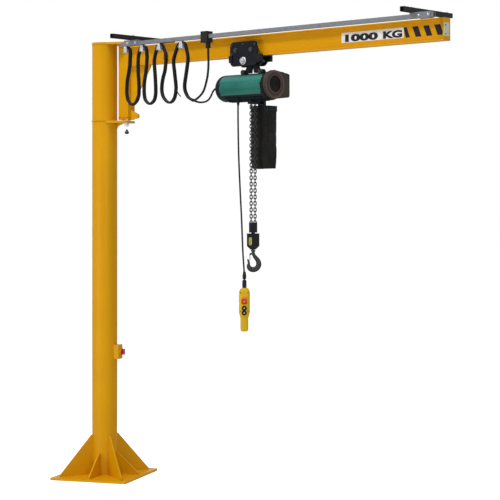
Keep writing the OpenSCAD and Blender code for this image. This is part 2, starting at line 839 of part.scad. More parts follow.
module chain_buffer() {
    color(black) on_trolley() difference() {
        round_box([34, 76, 82], 12, block_top + 7);
        for (y = [-fall_gap/2, fall_gap/2]) translate([0, y, block_top]) box_at([guide_hole, guide_hole, 90], 0);
    }
}

// Outline of the hook block from one side: w wide, drawn in at the foot
module block_side(w) {
    in = 20;
    rise = 28;
    polygon([[-w/2, block_z + rise], [-w/2 + in, block_z], [w/2 - in, block_z], [w/2, block_z + rise],
             [w/2, block_top], [-w/2, block_top]]);
}

module hook_block() {
    size = [58, 86];
    color(black) on_trolley() difference() {
        union() {
            intersection() {
                translate([-size[0]/2, 0, 0]) rotate([90, 0, 90]) linear_extrude(size[0]) block_side(size[1]);
                translate([0, size[1]/2, 0]) rotate([90, 0, 0]) linear_extrude(size[1]) block_side(size[0]);
            }
            translate([0, 0, block_top - 1]) box_at([30, 12, 8], 0);
        }
        translate([0, 0, block_z - 1]) cylinder(d = 26, h = 50);
        for (y = [-fall_gap/2, fall_gap/2]) translate([0, y, block_top - 40])
            box_at([guide_hole, guide_hole, 90], 0);
    }
}

// The hook's own frame: its plane is X-Z, its shank on the Z axis
module on_hook() {
    on_trolley() rotate([0, 0, hook_turn]) children();
}

// Centre line of the hook in its plane, from the tip round the bowl and up to the neck
function grow(a) = sin(90*min(1, (a - 160)/100));
function hook_bowl(a) = let (r = bowl_r + hook_half(a)) [r*cos(a), r*sin(a)];
function hook_half(a) = (12 + (hook_depth - 12)*grow(a))/2;
function hook_back(t) = let (r = bowl_r + hook_depth/2, n = neck_z, u = 1 - t)
    [u*u*u*r + 3*u*u*t*r, 3*u*u*t*0.45*n + 3*u*t*t*0.5*n + t*t*t*n];
hook_tip = [[-46, 39], [-40, 30], [-36.5, 17]];
hook_line = concat(hook_tip, [for (a = [176:11.5:360]) hook_bowl(a)], [for (t = [0.12:0.11:1]) hook_back(t)]);
hook_half_depth = concat([4, 8, 9.2], [for (a = [176:11.5:360]) hook_half(a)],
                         [for (t = [0.12:0.11:1]) hook_depth/2 + t*(shank_d - hook_depth)/2]);
function hook_ring(i, n) =
    let (p = hook_line, v = line_normal(p, i), h = hook_half_depth[i], w = min(h, 13 + 0.2*h))
    [for (k = [0:n - 1]) [p[i][0] + h*cos(360*k/n)*v[0], w*sin(360*k/n), p[i][1] + h*cos(360*k/n)*v[1]]];

// The forged body of the hook: one ring of n points after another along its centre line
module hook_forging(n = 14) {
    m = len(hook_line);
    points = [for (i = [0:m - 1]) each hook_ring(i, n)];
    sides = [for (i = [0:m - 2], k = [0:n - 1], half = [0, 1])
        half == 0 ? [i*n + k, (i + 1)*n + (k + 1)%n, (i + 1)*n + k]
                  : [i*n + k, i*n + (k + 1)%n, (i + 1)*n + (k + 1)%n]];
    polyhedron(points, concat(sides, [[for (k = [n - 1:-1:0]) k]], [[for (k = [0:n - 1]) (m - 1)*n + k]]));
}

// The hook, with its shank, its collar and the lug that carries the latch
module hook() {
    lug_w = 10;
    color([0.1, 0.1, 0.1]) on_hook() translate([0, 0, bowl_z]) {
        hook_forging();
        translate([0, 0, neck_z - 4]) cylinder(d = shank_d, h = 60);
        translate([0, 0, neck_z]) cylinder(d = 38, h = 12);
        translate([latch_at[0], 0, latch_at[1]]) y_cylinder(18, lug_w);
        translate([latch_at[0], -lug_w/2, latch_at[1] - 4]) cube([18, lug_w, 13]);
        translate([latch_at[0], 0, latch_at[1]]) y_cylinder(latch_pin_d, 26);
    }
}

// Sprung latch: a fork on the lug's pin, and a tongue that closes the mouth from inside the tip
module hook_latch() {
    w = 22;
    t = 5;
    l = 50;
    color(zinc) on_hook() translate([latch_at[0], 0, bowl_z + latch_at[1]]) difference() {
        union() {
            y_cylinder(15, w);
            translate([-7.5, -w/2, -l]) cube([t, w, l]);
        }
        y_cylinder(latch_pin_d + 2*running_gap, w + 2);
        translate([-12, -6.5, -17]) cube([40, 13, 30]);
    }
}

base_plate();
gussets();
column_tube();
head_plate();
lower_bracket();
pivot_pins();
isolator_box();
isolator_knob();
jib_post();
post_end_plates();
knee_plate();
jib_beam();
beam_end_stops();
support_arms();
festoon_rail();
rail_hangers();
cable_anchor();
carrier_1();
carrier_2();
carrier_3();
tow_carrier();
festoon_loop_1();
festoon_loop_2();
festoon_loop_3();
festoon_loop_4();
hoist_feed_cable();
trolley_plates();
wheel_1();
wheel_2();
wheel_3();
wheel_4();
load_bars();
suspension_bracket();
hoist_body();
hoist_cover();
end_cover();
control_box();
chain_guide();
bag_frame();
chain_bag();
load_chain();
cable_entries();
pendant_cable();
pendant_gland();
pendant_body();
pendant_buttons();
chain_buffer();
hook_block();
hook();
hook_latch();
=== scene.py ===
# Column jib crane: finishes, cables, chain, bag and small pieces over the solid parts.
import json
import math
import bpy
import bmesh
from mathutils import Matrix, Vector


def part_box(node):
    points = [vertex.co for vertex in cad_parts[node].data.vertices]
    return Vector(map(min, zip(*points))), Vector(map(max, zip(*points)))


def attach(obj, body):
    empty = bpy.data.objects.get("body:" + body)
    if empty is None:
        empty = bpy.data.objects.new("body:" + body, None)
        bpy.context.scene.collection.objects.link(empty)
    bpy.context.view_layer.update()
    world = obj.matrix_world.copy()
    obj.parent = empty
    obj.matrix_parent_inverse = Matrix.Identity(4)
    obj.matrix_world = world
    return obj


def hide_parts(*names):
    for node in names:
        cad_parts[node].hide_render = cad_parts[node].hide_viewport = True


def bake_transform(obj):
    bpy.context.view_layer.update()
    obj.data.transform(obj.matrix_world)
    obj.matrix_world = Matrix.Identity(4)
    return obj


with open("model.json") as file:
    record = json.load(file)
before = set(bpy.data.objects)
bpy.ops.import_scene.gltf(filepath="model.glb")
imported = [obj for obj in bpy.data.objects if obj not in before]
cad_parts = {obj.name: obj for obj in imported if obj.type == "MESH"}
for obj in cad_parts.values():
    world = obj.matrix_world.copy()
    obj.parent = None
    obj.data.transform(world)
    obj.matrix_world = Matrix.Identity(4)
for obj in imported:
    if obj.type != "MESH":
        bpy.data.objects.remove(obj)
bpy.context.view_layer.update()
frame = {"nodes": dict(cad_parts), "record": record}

# ---------------------------------------------------------------- places
MM = 0.001
JOINTS = {j["name"]: j for j in frame["record"]["behaviour"]["joints"]}
PIVOT = Vector(JOINTS["jib_slew"]["pos_m"])
CHAIN = Vector(JOINTS["hook_swivel"]["pos_m"])
COLUMN_TURN = math.atan2(PIVOT.y, PIVOT.x)


def on_jib(x, y, z):
    """A point on the jib in millimetres, x from the pivot axis and y from the beam's web."""
    return Vector((PIVOT.x + x*MM, PIVOT.y + y*MM, z*MM))


def on_trolley(x, y, z):
    """A point on the trolley in millimetres, from the axis between the two falls of chain."""
    return Vector((CHAIN.x + x*MM, CHAIN.y + y*MM, z*MM))


def on_column(x, y, z):
    """A point on the column in millimetres, x towards the pivot."""
    c, s = math.cos(COLUMN_TURN), math.sin(COLUMN_TURN)
    return Vector(((c*x - s*y)*MM, (s*x + c*y)*MM, z*MM))


def facing(centre, direction):
    """A frame at centre whose Z looks along direction."""
    return Matrix.Translation(centre) @ Vector(direction).to_track_quat("Z", "Y").to_matrix().to_4x4()


NEAR = Matrix.Rotation(math.radians(90), 4, "X")            # Z to the near side, Y up
TO_TIP = Matrix.Rotation(math.radians(90), 4, "Z") @ NEAR   # Z along X, Y up
PENDANT_TURN = math.radians(-48)
PENDANT_X, PENDANT_Y, PENDANT_Z = 36, -140, 1362
PENDANT_FOOT = on_trolley(PENDANT_X, PENDANT_Y, PENDANT_Z)
PENDANT = Matrix.Translation(PENDANT_FOOT) @ Matrix.Rotation(PENDANT_TURN, 4, "Z")

# ---------------------------------------------------------------- camera
camera_data = bpy.data.cameras.new("camera")
camera_data.lens = 111.97
camera_data.sensor_width = 36
camera_data.shift_x = -0.1683
camera_data.shift_y = -0.0996
camera_data.clip_end = 200
camera = bpy.data.objects.new("camera", camera_data)
camera.location = (10.3725, -9.0834, 2.414)
camera.rotation_euler = (math.radians(90), 0, math.radians(40.4))
bpy.context.scene.collection.objects.link(camera)
bpy.context.scene.camera = camera


# ---------------------------------------------------------------- nodes
def join(tree, node, inputs):
    """That node, with the values or links of its inputs."""
    for key, value in inputs.items():
        if isinstance(value, bpy.types.NodeSocket):
            tree.links.new(value, node.inputs[key])
        else:
            node.inputs[key].default_value = value
    return node


def step(tree, kind, inputs=None, **settings):
    """A node of that kind in tree, with its settings and the values or links of its inputs."""
    node = tree.nodes.new(kind)
    for key, value in settings.items():
        setattr(node, key, value)
    return join(tree, node, inputs or {})


def add(tree, kind, inputs=None, **settings):
    """A shader node, named by the end of its kind."""
    return step(tree, "ShaderNode" + kind, inputs, **settings)


def mixed(tree, factor, a, b):
    """The output of a colour mix of a and b."""
    return add(tree, "Mix", {0: factor, 6: a, 7: b}, data_type="RGBA").outputs[2]


def between(tree, value, low, high, to_low=0.0, to_high=1.0):
    """The output of a value mapped from low..high to to_low..to_high, held at the ends."""
    return add(tree, "MapRange", {0: value, 1: low, 2: high, 3: to_low, 4: to_high}).outputs[0]


def calc(tree, operation, a, b=0.0, c=0.0):
    """The output of a sum on values."""
    return add(tree, "Math", {0: a, 1: b, 2: c}, operation=operation).outputs[0]


# ---------------------------------------------------------------- shader groups
def shader_group(name, inputs, outputs):
    """An empty shader node group with its sockets, and its input and output nodes."""
    group = bpy.data.node_groups.new(name, "ShaderNodeTree")
    for label, kind, value in inputs:
        socket = group.interface.new_socket(label, in_out="INPUT", socket_type="NodeSocket" + kind)
        socket.default_value = value
    for label, kind in outputs:
        group.interface.new_socket(label, in_out="OUTPUT", socket_type="NodeSocket" + kind)
    return group, group.nodes.new("NodeGroupInput"), group.nodes.new("NodeGroupOutput")


def make_grime():
    """Dirt in patches, drawn out into streaks that run down."""
    group, given, out = shader_group("grime", [
        ("Colour", "Color", (0.5, 0.5, 0.5, 1)), ("Grime Colour", "Color", (0.05, 0.04, 0.03, 1)),
        ("Amount", "Float", 0.3), ("Patch Scale", "Float", 6.0), ("Streak Scale", "Float", 30.0)],
        [("Colour", "Color"), ("Mask", "Float")])
    place = add(group, "TexCoord").outputs["Object"]
    patches = add(group, "TexNoise", {"Vector": place, "Scale": given.outputs["Patch Scale"], "Detail": 8.0,
                                      "Roughness": 0.62})
    long = add(group, "Mapping", {"Vector": place, "Scale": (1.0, 1.0, 0.06)}).outputs[0]
    streaks = add(group, "TexNoise", {"Vector": long, "Scale": given.outputs["Streak Scale"], "Detail": 4.0})
    mask = calc(group, "MULTIPLY", between(group, patches.outputs["Fac"], 0.42, 0.75),
                between(group, streaks.outputs["Fac"], 0.38, 0.68, 0.35, 1.0))
    mask = calc(group, "MULTIPLY", mask, given.outputs["Amount"])
    colour = mixed(group, mask, given.outputs["Colour"], given.outputs["Grime Colour"])
    group.links.new(colour, out.inputs["Colour"])
    group.links.new(mask, out.inputs["Mask"])
    return group


def make_chips():
    """Small sharp spots where the colour under the finish shows."""
    group, given, out = shader_group("chips", [
        ("Colour", "Color", (0.5, 0.5, 0.5, 1)), ("Under Colour", "Color", (0.12, 0.08, 0.06, 1)),
        ("Level", "Float", 0.72), ("Scale", "Float", 45.0)],
        [("Colour", "Color"), ("Mask", "Float")])
    place = add(group, "TexCoord").outputs["Object"]
    wide = add(group, "TexNoise", {"Vector": place, "Scale": 3.0, "Detail": 2.0})
    fine = add(group, "TexNoise", {"Vector": place, "Scale": given.outputs["Scale"], "Detail": 5.0,
                                   "Roughness": 0.7})
    worn = between(group, wide.outputs["Fac"], 0.45, 0.75, 0.0, 0.06)
    level = calc(group, "SUBTRACT", given.outputs["Level"], worn)
    mask = between(group, calc(group, "SUBTRACT", fine.outputs["Fac"], level), 0.0, 0.012)
    colour = mixed(group, mask, given.outputs["Colour"], given.outputs["Under Colour"])
    group.links.new(colour, out.inputs["Colour"])
    group.links.new(mask, out.inputs["Mask"])
    return group


def make_film():
    """The skin of a sprayed or moulded surface: slow change of tone, and a fine height."""
    group, given, out = shader_group("film", [
        ("Colour", "Color", (0.5, 0.5, 0.5, 1)), ("Tone", "Float", 0.06), ("Tone Scale", "Float", 3.0),
        ("Peel Scale", "Float", 260.0)],
        [("Colour", "Color"), ("Tone", "Float"), ("Height", "Float")])
    place = add(group, "TexCoord").outputs["Object"]
    slow = add(group, "TexNoise", {"Vector": place, "Scale": given.outputs["Tone Scale"], "Detail": 5.0})
    peel = add(group, "TexNoise", {"Vector": place, "Scale": given.outputs["Peel Scale"], "Detail": 2.0})
    tone = between(group, slow.outputs["Fac"], 0.3, 0.7, -1.0, 1.0)
    factor = calc(group, "MULTIPLY_ADD", tone, given.outputs["Tone"], 1.0)
    colour = add(group, "VectorMath", {0: given.outputs["Colour"]}, operation="SCALE")
    group.links.new(factor, colour.inputs["Scale"])
    group.links.new(colour.outputs[0], out.inputs["Colour"])
    group.links.new(tone, out.inputs["Tone"])
    group.links.new(peel.outputs["Fac"], out.inputs["Height"])
    return group


def make_weave():
    """Crossed threads on the cloth's own map, with dust in broad patches and painted sheen on the high threads.
    """
    group, given, out = shader_group("weave", [
        ("Vector", "Vector", (0.0, 0.0, 0.0)), ("Threads", "Float", 500.0),
        ("Colour", "Color", (0.02, 0.02, 0.02, 1)),
        ("Light Colour", "Color", (0.06, 0.06, 0.05, 1))],
        [("Colour", "Color"), ("Height", "Float")])
    warp = add(group, "TexWave", {"Vector": given.outputs["Vector"], "Scale": given.outputs["Threads"],
                                  "Distortion": 0.6}, bands_direction="X")
    weft = add(group, "TexWave", {"Vector": given.outputs["Vector"], "Scale": given.outputs["Threads"],
                                  "Distortion": 0.6}, bands_direction="Y")
    height = calc(group, "MULTIPLY", warp.outputs["Fac"], weft.outputs["Fac"])
    wide = add(group, "TexNoise", {"Vector": given.outputs["Vector"], "Scale": 9.0, "Detail": 6.0})
    # Broad patches of dust, plus painted sheen: the high threads take the lighter colour.
    dust_and_sheen = calc(group, "MULTIPLY_ADD", between(group, wide.outputs["Fac"], 0.42, 0.72), 0.55,
                 calc(group, "MULTIPLY", height, 0.35))
    colour = mixed(group, dust_and_sheen, given.outputs["Colour"], given.outputs["Light Colour"])
    group.links.new(colour, out.inputs["Colour"])
    group.links.new(height, out.inputs["Height"])
    return group


GRIME, CHIPS, FILM, WEAVE = make_grime(), make_chips(), make_film(), make_weave()


def use(tree, group, inputs):
    """One of the shared groups in a material, with its own values."""
    node = tree.nodes.new("ShaderNodeGroup")
    node.node_tree = group
    return join(tree, node, inputs)


def blank(name, **constants):
    """A material with a bare surface shader and its constants."""
    material = bpy.data.materials.new(name)
    material.use_nodes = True
    tree = material.node_tree
    surface = tree.nodes["Principled BSDF"]
    for key, value in constants.items():
        surface.inputs[key.replace("_", " ")].default_value = value
    return material, tree, surface


def dress(tree, surface, dirt, dulling, rough, height, strength, distance):
    """Gives the surface the dirt's colour, a roughness that the dirt adds to, and a bump."""
    tree.links.new(dirt.outputs["Colour"], surface.inputs["Base Color"])
    dulled = calc(tree, "MULTIPLY_ADD", dirt.outputs["Mask"], dulling, rough)
    tree.links.new(dulled, surface.inputs["Roughness"])
    bump = add(tree, "Bump", {"Height": height, "Strength": strength, "Distance": distance})
    tree.links.new(bump.outputs[0], surface.inputs["Normal"])


def paint(name, colour, under, grime=(0.06, 0.04, 0.02, 1), amount=0.1, roughness=0.34, coat=0.0, tone=0.05,
          chip_level=0.74, shine=0.1):
    """Sprayed paint: slow fading, orange peel, small chips to the primer, and streaked dirt."""
    material, tree, surface = blank(name, Coat_Weight=coat, Coat_Roughness=0.22, Specular_IOR_Level=shine)
    film = use(tree, FILM, {"Colour": colour, "Tone": tone})
    chips = use(tree, CHIPS, {"Colour": film.outputs["Colour"], "Under Colour": under, "Level": chip_level})
    dirt = use(tree, GRIME, {"Colour": chips.outputs["Colour"], "Grime Colour": grime, "Amount": amount})
    rough = calc(tree, "MULTIPLY_ADD", chips.outputs["Mask"], 0.2, roughness)
    rough = calc(tree, "MULTIPLY_ADD", film.outputs["Tone"], 0.04, rough)
    height = calc(tree, "SUBTRACT", film.outputs["Height"], chips.outputs["Mask"])
    dress(tree, surface, dirt, 0.4, rough, height, 0.35, 0.00012)
    return material


def zinc(name, colour, roughness, cell=90.0, metallic=0.75, amount=0.3):
    """Galvanised or plated steel: faint crystals, and dull patches."""
    low, high = 0.84, 1.1
    material, tree, surface = blank(name, Metallic=metallic)
    place = add(tree, "TexCoord").outputs["Object"]
    cells = add(tree, "TexVoronoi", {"Vector": place, "Scale": cell})
    tone = between(tree, cells.outputs["Color"], 0.0, 1.0, low, high)
    scaled = add(tree, "VectorMath", {0: colour, "Scale": tone}, operation="SCALE")
    dirt = use(tree, GRIME, {"Colour": scaled.outputs[0], "Grime Colour": (0.05, 0.045, 0.04, 1),
                             "Amount": amount, "Patch Scale": 14.0})
    rough = between(tree, tone, low, high, roughness - 0.06, roughness + 0.08)
    dress(tree, surface, dirt, 0.35, rough, tone, 0.15, 0.0001)
    return material


def steel(name, colour, roughness, metallic=1.0, rust=0.0):
    """Worn bare or oiled steel: fine drawn lines, dark oil and a little rust."""
    material, tree, surface = blank(name, Metallic=metallic)
    place = add(tree, "TexCoord").outputs["Object"]
    drawn = add(tree, "Mapping", {"Vector": place, "Scale": (40.0, 40.0, 400.0)}).outputs[0]
    lines = add(tree, "TexNoise", {"Vector": drawn, "Scale": 1.0, "Detail": 6.0})
    film = use(tree, FILM, {"Colour": colour, "Tone": 0.3, "Tone Scale": 22.0})
    worn = use(tree, CHIPS, {"Colour": film.outputs["Colour"], "Under Colour": (0.16, 0.06, 0.02, 1),
                             "Level": 0.78 - rust})
    dirt = use(tree, GRIME, {"Colour": worn.outputs["Colour"], "Grime Colour": (0.02, 0.017, 0.014, 1),
                             "Amount": 0.6, "Patch Scale": 30.0})
    rough = calc(tree, "MULTIPLY_ADD", lines.outputs["Fac"], 0.25, roughness - 0.12)
    dress(tree, surface, dirt, 0.3, rough, lines.outputs["Fac"], 0.3, 0.00015)
    return material


def plastic(name, colour, roughness=0.45, amount=0.25, peel_scale=700.0, coat=0.0, tone=0.08,
            dust=(0.05, 0.045, 0.04, 1), shine=0.15):
    """Moulded plastic: a fine spark-eroded grain, handling marks and dust."""
    material, tree, surface = blank(name, Coat_Weight=coat, Coat_Roughness=0.3, IOR=1.46,
                                    Specular_IOR_Level=shine)
    film = use(tree, FILM, {"Colour": colour, "Tone": tone, "Tone Scale": 16.0, "Peel Scale": peel_scale})
    marks = use(tree, GRIME, {"Colour": film.outputs["Colour"], "Grime Colour": dust, "Amount": amount,
                              "Patch Scale": 18.0, "Streak Scale": 60.0})
    rough = calc(tree, "MULTIPLY_ADD", film.outputs["Tone"], 0.07, roughness)
    dress(tree, surface, marks, 0.3, rough, film.outputs["Height"], 0.5, 0.0001)
    return material


def cable_sheath(name, colour):
    """Black sheath: faint rings across its length, on the sweep's own UV map, and chalky dust."""
    material, tree, surface = blank(name, IOR=1.5, Specular_IOR_Level=0.14)
    along = add(tree, "TexCoord").outputs["UV"]
    ring = add(tree, "TexWave", {"Vector": along, "Scale": 45.0, "Distortion": 1.5, "Detail": 2.0},
               bands_direction="Y")
    film = use(tree, FILM, {"Colour": colour, "Tone": 0.25, "Tone Scale": 12.0})
    dust = use(tree, GRIME, {"Colour": film.outputs["Colour"], "Grime Colour": (0.04, 0.038, 0.036, 1),
                             "Amount": 0.25, "Patch Scale": 15.0, "Streak Scale": 80.0})
    rough = calc(tree, "MULTIPLY_ADD", film.outputs["Tone"], 0.08, 0.5)
    dress(tree, surface, dust, 0.3, rough, ring.outputs["Fac"], 0.2, 0.0003)
    return material


def bag_cloth(name):
    """Coated woven cloth: weave on the bag's UV map with painted sheen on its high threads, dusty folds, a
    faint sheen.
    """
    material, tree, surface = blank(name, Sheen_Weight=0.03, Sheen_Roughness=0.4, Specular_IOR_Level=0.12)
    along = add(tree, "TexCoord").outputs["UV"]
    weave = use(tree, WEAVE, {"Vector": along, "Threads": 90.0, "Colour": (0.0035, 0.0035, 0.003, 1),
                              "Light Colour": (0.016, 0.0155, 0.011, 1)})
    dust = use(tree, GRIME, {"Colour": weave.outputs["Colour"], "Grime Colour": (0.03, 0.029, 0.021, 1),
                             "Amount": 0.2, "Patch Scale": 7.0, "Streak Scale": 16.0})
    dress(tree, surface, dust, 0.4, 0.48, weave.outputs["Height"], 0.6, 0.0006)
    return material


YELLOW = paint("yellow_paint", (0.66, 0.315, 0.0015, 1), (0.16, 0.05, 0.02, 1))
YELLOW_WELD = paint("yellow_weld", (0.60, 0.27, 0.0015, 1), (0.10, 0.05, 0.02, 1), amount=0.3, roughness=0.42,
                    tone=0.12)
TEAL = paint("teal_paint", (0.005, 0.138, 0.108, 1), (0.05, 0.05, 0.05, 1), roughness=0.26, coat=0.12,
             chip_level=0.78, shine=0.35)
BLACK = paint("black_paint", (0.0065, 0.0085, 0.0125, 1), (0.07, 0.065, 0.06, 1), grime=(0.04, 0.035, 0.03, 1),
              amount=0.16, roughness=0.4, tone=0.25, shine=0.13)
ARM_BLACK = paint("arm_black", (0.012, 0.011, 0.012, 1), (0.09, 0.08, 0.075, 1), grime=(0.06, 0.05, 0.045, 1),
                  amount=0.2, roughness=0.42, tone=0.25, shine=0.15)
GALVANISED = zinc("galvanised", (0.19, 0.20, 0.22), roughness=0.5, metallic=0.35)
PLATED = zinc("plated_bolts", (0.62, 0.63, 0.65), roughness=0.3, cell=400.0, metallic=0.9, amount=0.35)
CHAIN_STEEL = steel("chain_steel", (0.022, 0.022, 0.023, 1), roughness=0.42, metallic=0.2)
HOOK_STEEL = steel("hook_steel", (0.014, 0.014, 0.015, 1), roughness=0.45, metallic=0.1, rust=0.02)
LATCH_STEEL = steel("latch_steel", (0.014, 0.014, 0.018, 1), roughness=0.45, metallic=0.1)
WHEEL_IRON = steel("wheel_iron", (0.16, 0.16, 0.165, 1), roughness=0.4, rust=0.05)
BLACK_PLASTIC = plastic("black_plastic", (0.012, 0.012, 0.013, 1), roughness=0.46)
COVER_PLASTIC = plastic("cover_plastic", (0.040, 0.033, 0.027, 1), roughness=0.42, coat=0.05)
# Near-black plastic for the hoist bands and for the floor of the end cover's dish, where it is painted shade in
# the recess.
COVER_DARK_AND_SHADE = plastic("cover_dark_and_shade", (0.008, 0.0065, 0.006, 1), roughness=0.5, amount=0.1)
# A lighter copy of the cover plastic for the raised rims: painted highlight on their rounded edges.
COVER_RIM_HIGHLIGHT = plastic("cover_rim_painted_highlight", (0.115, 0.068, 0.055, 1), roughness=0.36, coat=0.1)
PENDANT_YELLOW = plastic("pendant_yellow", (0.66, 0.41, 0.003, 1), roughness=0.36, amount=0.1, coat=0.05,
                         tone=0.05, dust=(0.3, 0.2, 0.05, 1))
BUTTON_RED = plastic("button_red", (0.50, 0.045, 0.010, 1), roughness=0.34, amount=0.1, coat=0.1)
BUTTON_MARK = plastic("button_mark", (0.75, 0.22, 0.06, 1), roughness=0.4, amount=0.1)
MARK_WHITE = plastic("mark_white", (0.78, 0.78, 0.76, 1), roughness=0.4, amount=0.2, tone=0.03)
BOARD_PALE = plastic("board_pale", (0.62, 0.66, 0.50, 1), roughness=0.4, amount=0.25, tone=0.03)
MARK_DARK = plastic("mark_dark", (0.018, 0.019, 0.024, 1), roughness=0.5, amount=0.06, shine=0.1)
MARK_YELLOW = plastic("mark_yellow", (0.40, 0.36, 0.07, 1), roughness=0.45, amount=0.12)
COLLAR_BLUE = plastic("collar_blue", (0.012, 0.013, 0.03, 1), roughness=0.45, amount=0.1)
KNOB_RED = plastic("knob_red", (0.38, 0.018, 0.012, 1), roughness=0.3, amount=0.15, coat=0.4)
BOLT_DARK = steel("bolt_dark", (0.05, 0.05, 0.052, 1), roughness=0.4, metallic=0.6)
RUBBER = plastic("rubber", (0.016, 0.016, 0.016, 1), roughness=0.62, peel_scale=420.0)
SHEATH = cable_sheath("cable_sheath", (0.010, 0.010, 0.011, 1))
BAG_CLOTH = bag_cloth("bag_cloth")

NODE_FINISH = {
    YELLOW: ["base_plate", "gussets", "column_tube", "head_plate", "lower_bracket", "isolator_box", "jib_post",
             "post_end_plates", "knee_plate", "jib_beam", "beam_end_stops"],
    GALVANISED: ["festoon_rail", "rail_hangers", "cable_anchor", "carrier_1", "carrier_2", "carrier_3"],
    PLATED: ["pivot_pins", "load_bars"],
    ARM_BLACK: ["support_arms"],
    BLACK: ["trolley_plates", "suspension_bracket", "hoist_body", "chain_guide", "bag_frame", "hook_block"],
    BLACK_PLASTIC: ["tow_carrier", "cable_entries", "pendant_gland"],
    RUBBER: ["chain_buffer"],
    TEAL: ["hoist_cover"],
    COVER_PLASTIC: ["end_cover", "control_box"],
    HOOK_STEEL: ["hook"],
    LATCH_STEEL: ["hook_latch"],
    WHEEL_IRON: ["wheel_1", "wheel_2", "wheel_3", "wheel_4"],
    KNOB_RED: ["isolator_knob"],
    PENDANT_YELLOW: ["pendant_body"],
    BUTTON_RED: ["pendant_buttons"],
}
for finish, names in NODE_FINISH.items():
    for name in names:
        for place in frame["nodes"][name].material_slots:
            place.material = finish


# ---------------------------------------------------------------- making pieces
def piece(name, mesh, material, body=None, smooth_angle=35):
    """An object of that mesh at the origin, which rides on a body."""
    thing = bpy.data.objects.new(name, mesh)
    bpy.context.scene.collection.objects.link(thing)
    mesh.materials.clear()
    mesh.materials.append(material)
    for face in mesh.polygons:
        face.material_index = 0
        face.use_smooth = True
    mesh.set_sharp_from_angle(angle=math.radians(smooth_angle))
    if body:
        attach(thing, body)
    return thing


def circle(radius, sides=16):
    """Points round a circle, as (x, y) pairs."""
    return [(radius*math.cos(math.tau*k/sides), radius*math.sin(math.tau*k/sides)) for k in range(sides)]


class Bench:
    """Collects solids that become one piece."""

    def __init__(self):
        self.work = bmesh.new()

    def verts(self, points):
        return [self.work.verts.new(p) for p in points]

    def skin(self, a, b):
        """Faces with four corners between two rings of the same count."""
        for k in range(len(a)):
            j = (k + 1) % len(a)
            self.work.faces.new([a[k], a[j], b[j], b[k]])

    def caps(self, first, last):
        """A flat face on each end of a run of rings."""
        self.work.faces.new(first[::-1])
        self.work.faces.new(last)

    def box(self, place, size, bevel):
        """A box centred in the frame place, size in metres, with its edges rounded."""
        made = bmesh.ops.create_cube(self.work, size=1.0, matrix=place @ Matrix.Diagonal((*size, 1.0)))
        edges = list(dict.fromkeys(e for v in made["verts"] for e in v.link_edges))
        bmesh.ops.bevel(self.work, geom=edges, offset=bevel, segments=2, profile=0.5, affect="EDGES",
                        clamp_overlap=True)

    def lathe(self, place, profile, sides=40):
        """A solid turned about the frame's Z from (radius, height) pairs in metres, closed on the axis."""
        rings = []
        for radius, height in profile:
            ring = circle(radius, sides) if radius else [(0, 0)]
            rings.append(self.verts(place @ Vector((x, y, height)) for x, y in ring))
        for a, b in zip(rings, rings[1:]):
            if len(a) == len(b):
                self.skin(a, b)
                continue
            for k in range(sides):
                j = (k + 1) % sides
                self.work.faces.new([a[0], b[j], b[k]] if len(a) == 1 else [a[k], a[j], b[0]])

    def revolve(self, place, outline, sides=96):
        """A ring turned about the frame's Z from a closed outline of (radius, height) pairs in millimetres."""
        rings = [self.verts(place @ Vector((x, y, height*MM)) for x, y in circle(radius*MM, sides))
                 for radius, height in outline]
        for a, b in zip(rings, rings[1:] + rings[:1]):
            self.skin(a, b)

    def prism(self, place, outline, depth, bevel=0.0):
        """A flat outline in the frame's X and Y, made thick along its Z."""
        low, high = (self.verts(place @ Vector((x, y, z)) for x, y in outline) for z in (0, depth))
        ends = [self.work.faces.new(low[::-1]), self.work.faces.new(high)]
        self.skin(low, high)
        if bevel:
            rim = [e for f in ends for e in f.edges]
            bmesh.ops.bevel(self.work, geom=rim, offset=bevel, segments=2, profile=0.5, affect="EDGES",
                            clamp_overlap=True)

    def sleeve(self, rings, width, heights, closed=False):
        """Faces from ring to ring with a UV map, width round a ring and heights along the run."""
        m, n, uv = len(rings[0]), len(rings), self.work.loops.layers.uv.verify()
        for i in range(n if closed else n - 1):
            j = (i + 1) % n
            for k in range(m):
                l = (k + 1) % m
                face = self.work.faces.new([rings[i][k], rings[i][l], rings[j][l], rings[j][k]])
                for loop, (a, b) in zip(face.loops, ((k, i), (k + 1, i), (k + 1, j), (k, j))):
                    loop[uv].uv = (width*a/m, heights[b])

    def sweep(self, path, section, side, closed=False):
        """A closed section of (u, v) pairs carried along path, u along side."""
        n, rings, lengths = len(path), [], []
        for i, point in enumerate(path):
            before, after = path[max(i - 1, 0)], path[min(i + 1, n - 1)]
            if closed:
                before, after = path[i - 1], path[(i + 1) % n]
            along = (after - before).normalized()
            u = (side - along*side.dot(along)).normalized()
            v = along.cross(u)
            lengths.append(lengths[-1] + (point - path[i - 1]).length if i else 0.0)
            rings.append(self.verts(point + u*a + v*b for a, b in section))
        self.sleeve(rings, 1, lengths, closed)
        if not closed:
            self.caps(rings[0], rings[-1])

    def mesh(self, name):
        bmesh.ops.remove_doubles(self.work, verts=self.work.verts, dist=1e-7)
        bmesh.ops.recalc_face_normals(self.work, faces=self.work.faces)
        mesh = bpy.data.meshes.new(name)
        self.work.to_mesh(mesh)
        self.work.free()
        return mesh

    def piece(self, name, material, body, slot, smooth_angle=35):
        return piece(name, self.mesh(name), material, body, smooth_angle)


def flat_section(width, thick):
    """The section of a flat cable: straight sides and half-round edges."""
    r, half = thick/2, width/2 - thick/2
    return [(side*half + r*math.cos(a), r*math.sin(a)) for side, start in ((1, -90), (-1, 90))
            for a in (math.radians(start + 36*k) for k in range(6))]


def rounded_outline(width, height, radius):
    """A centred rectangle with rounded corners."""
    return [(cx*(width/2 - radius) + radius*math.cos(a), cy*(height/2 - radius) + radius*math.sin(a))
            for cx, cy, start in ((1, 1, 0), (-1, 1, 90), (-1, -1, 180), (1, -1, 270))
            for a in (math.radians(start + 18*k) for k in range(6))]


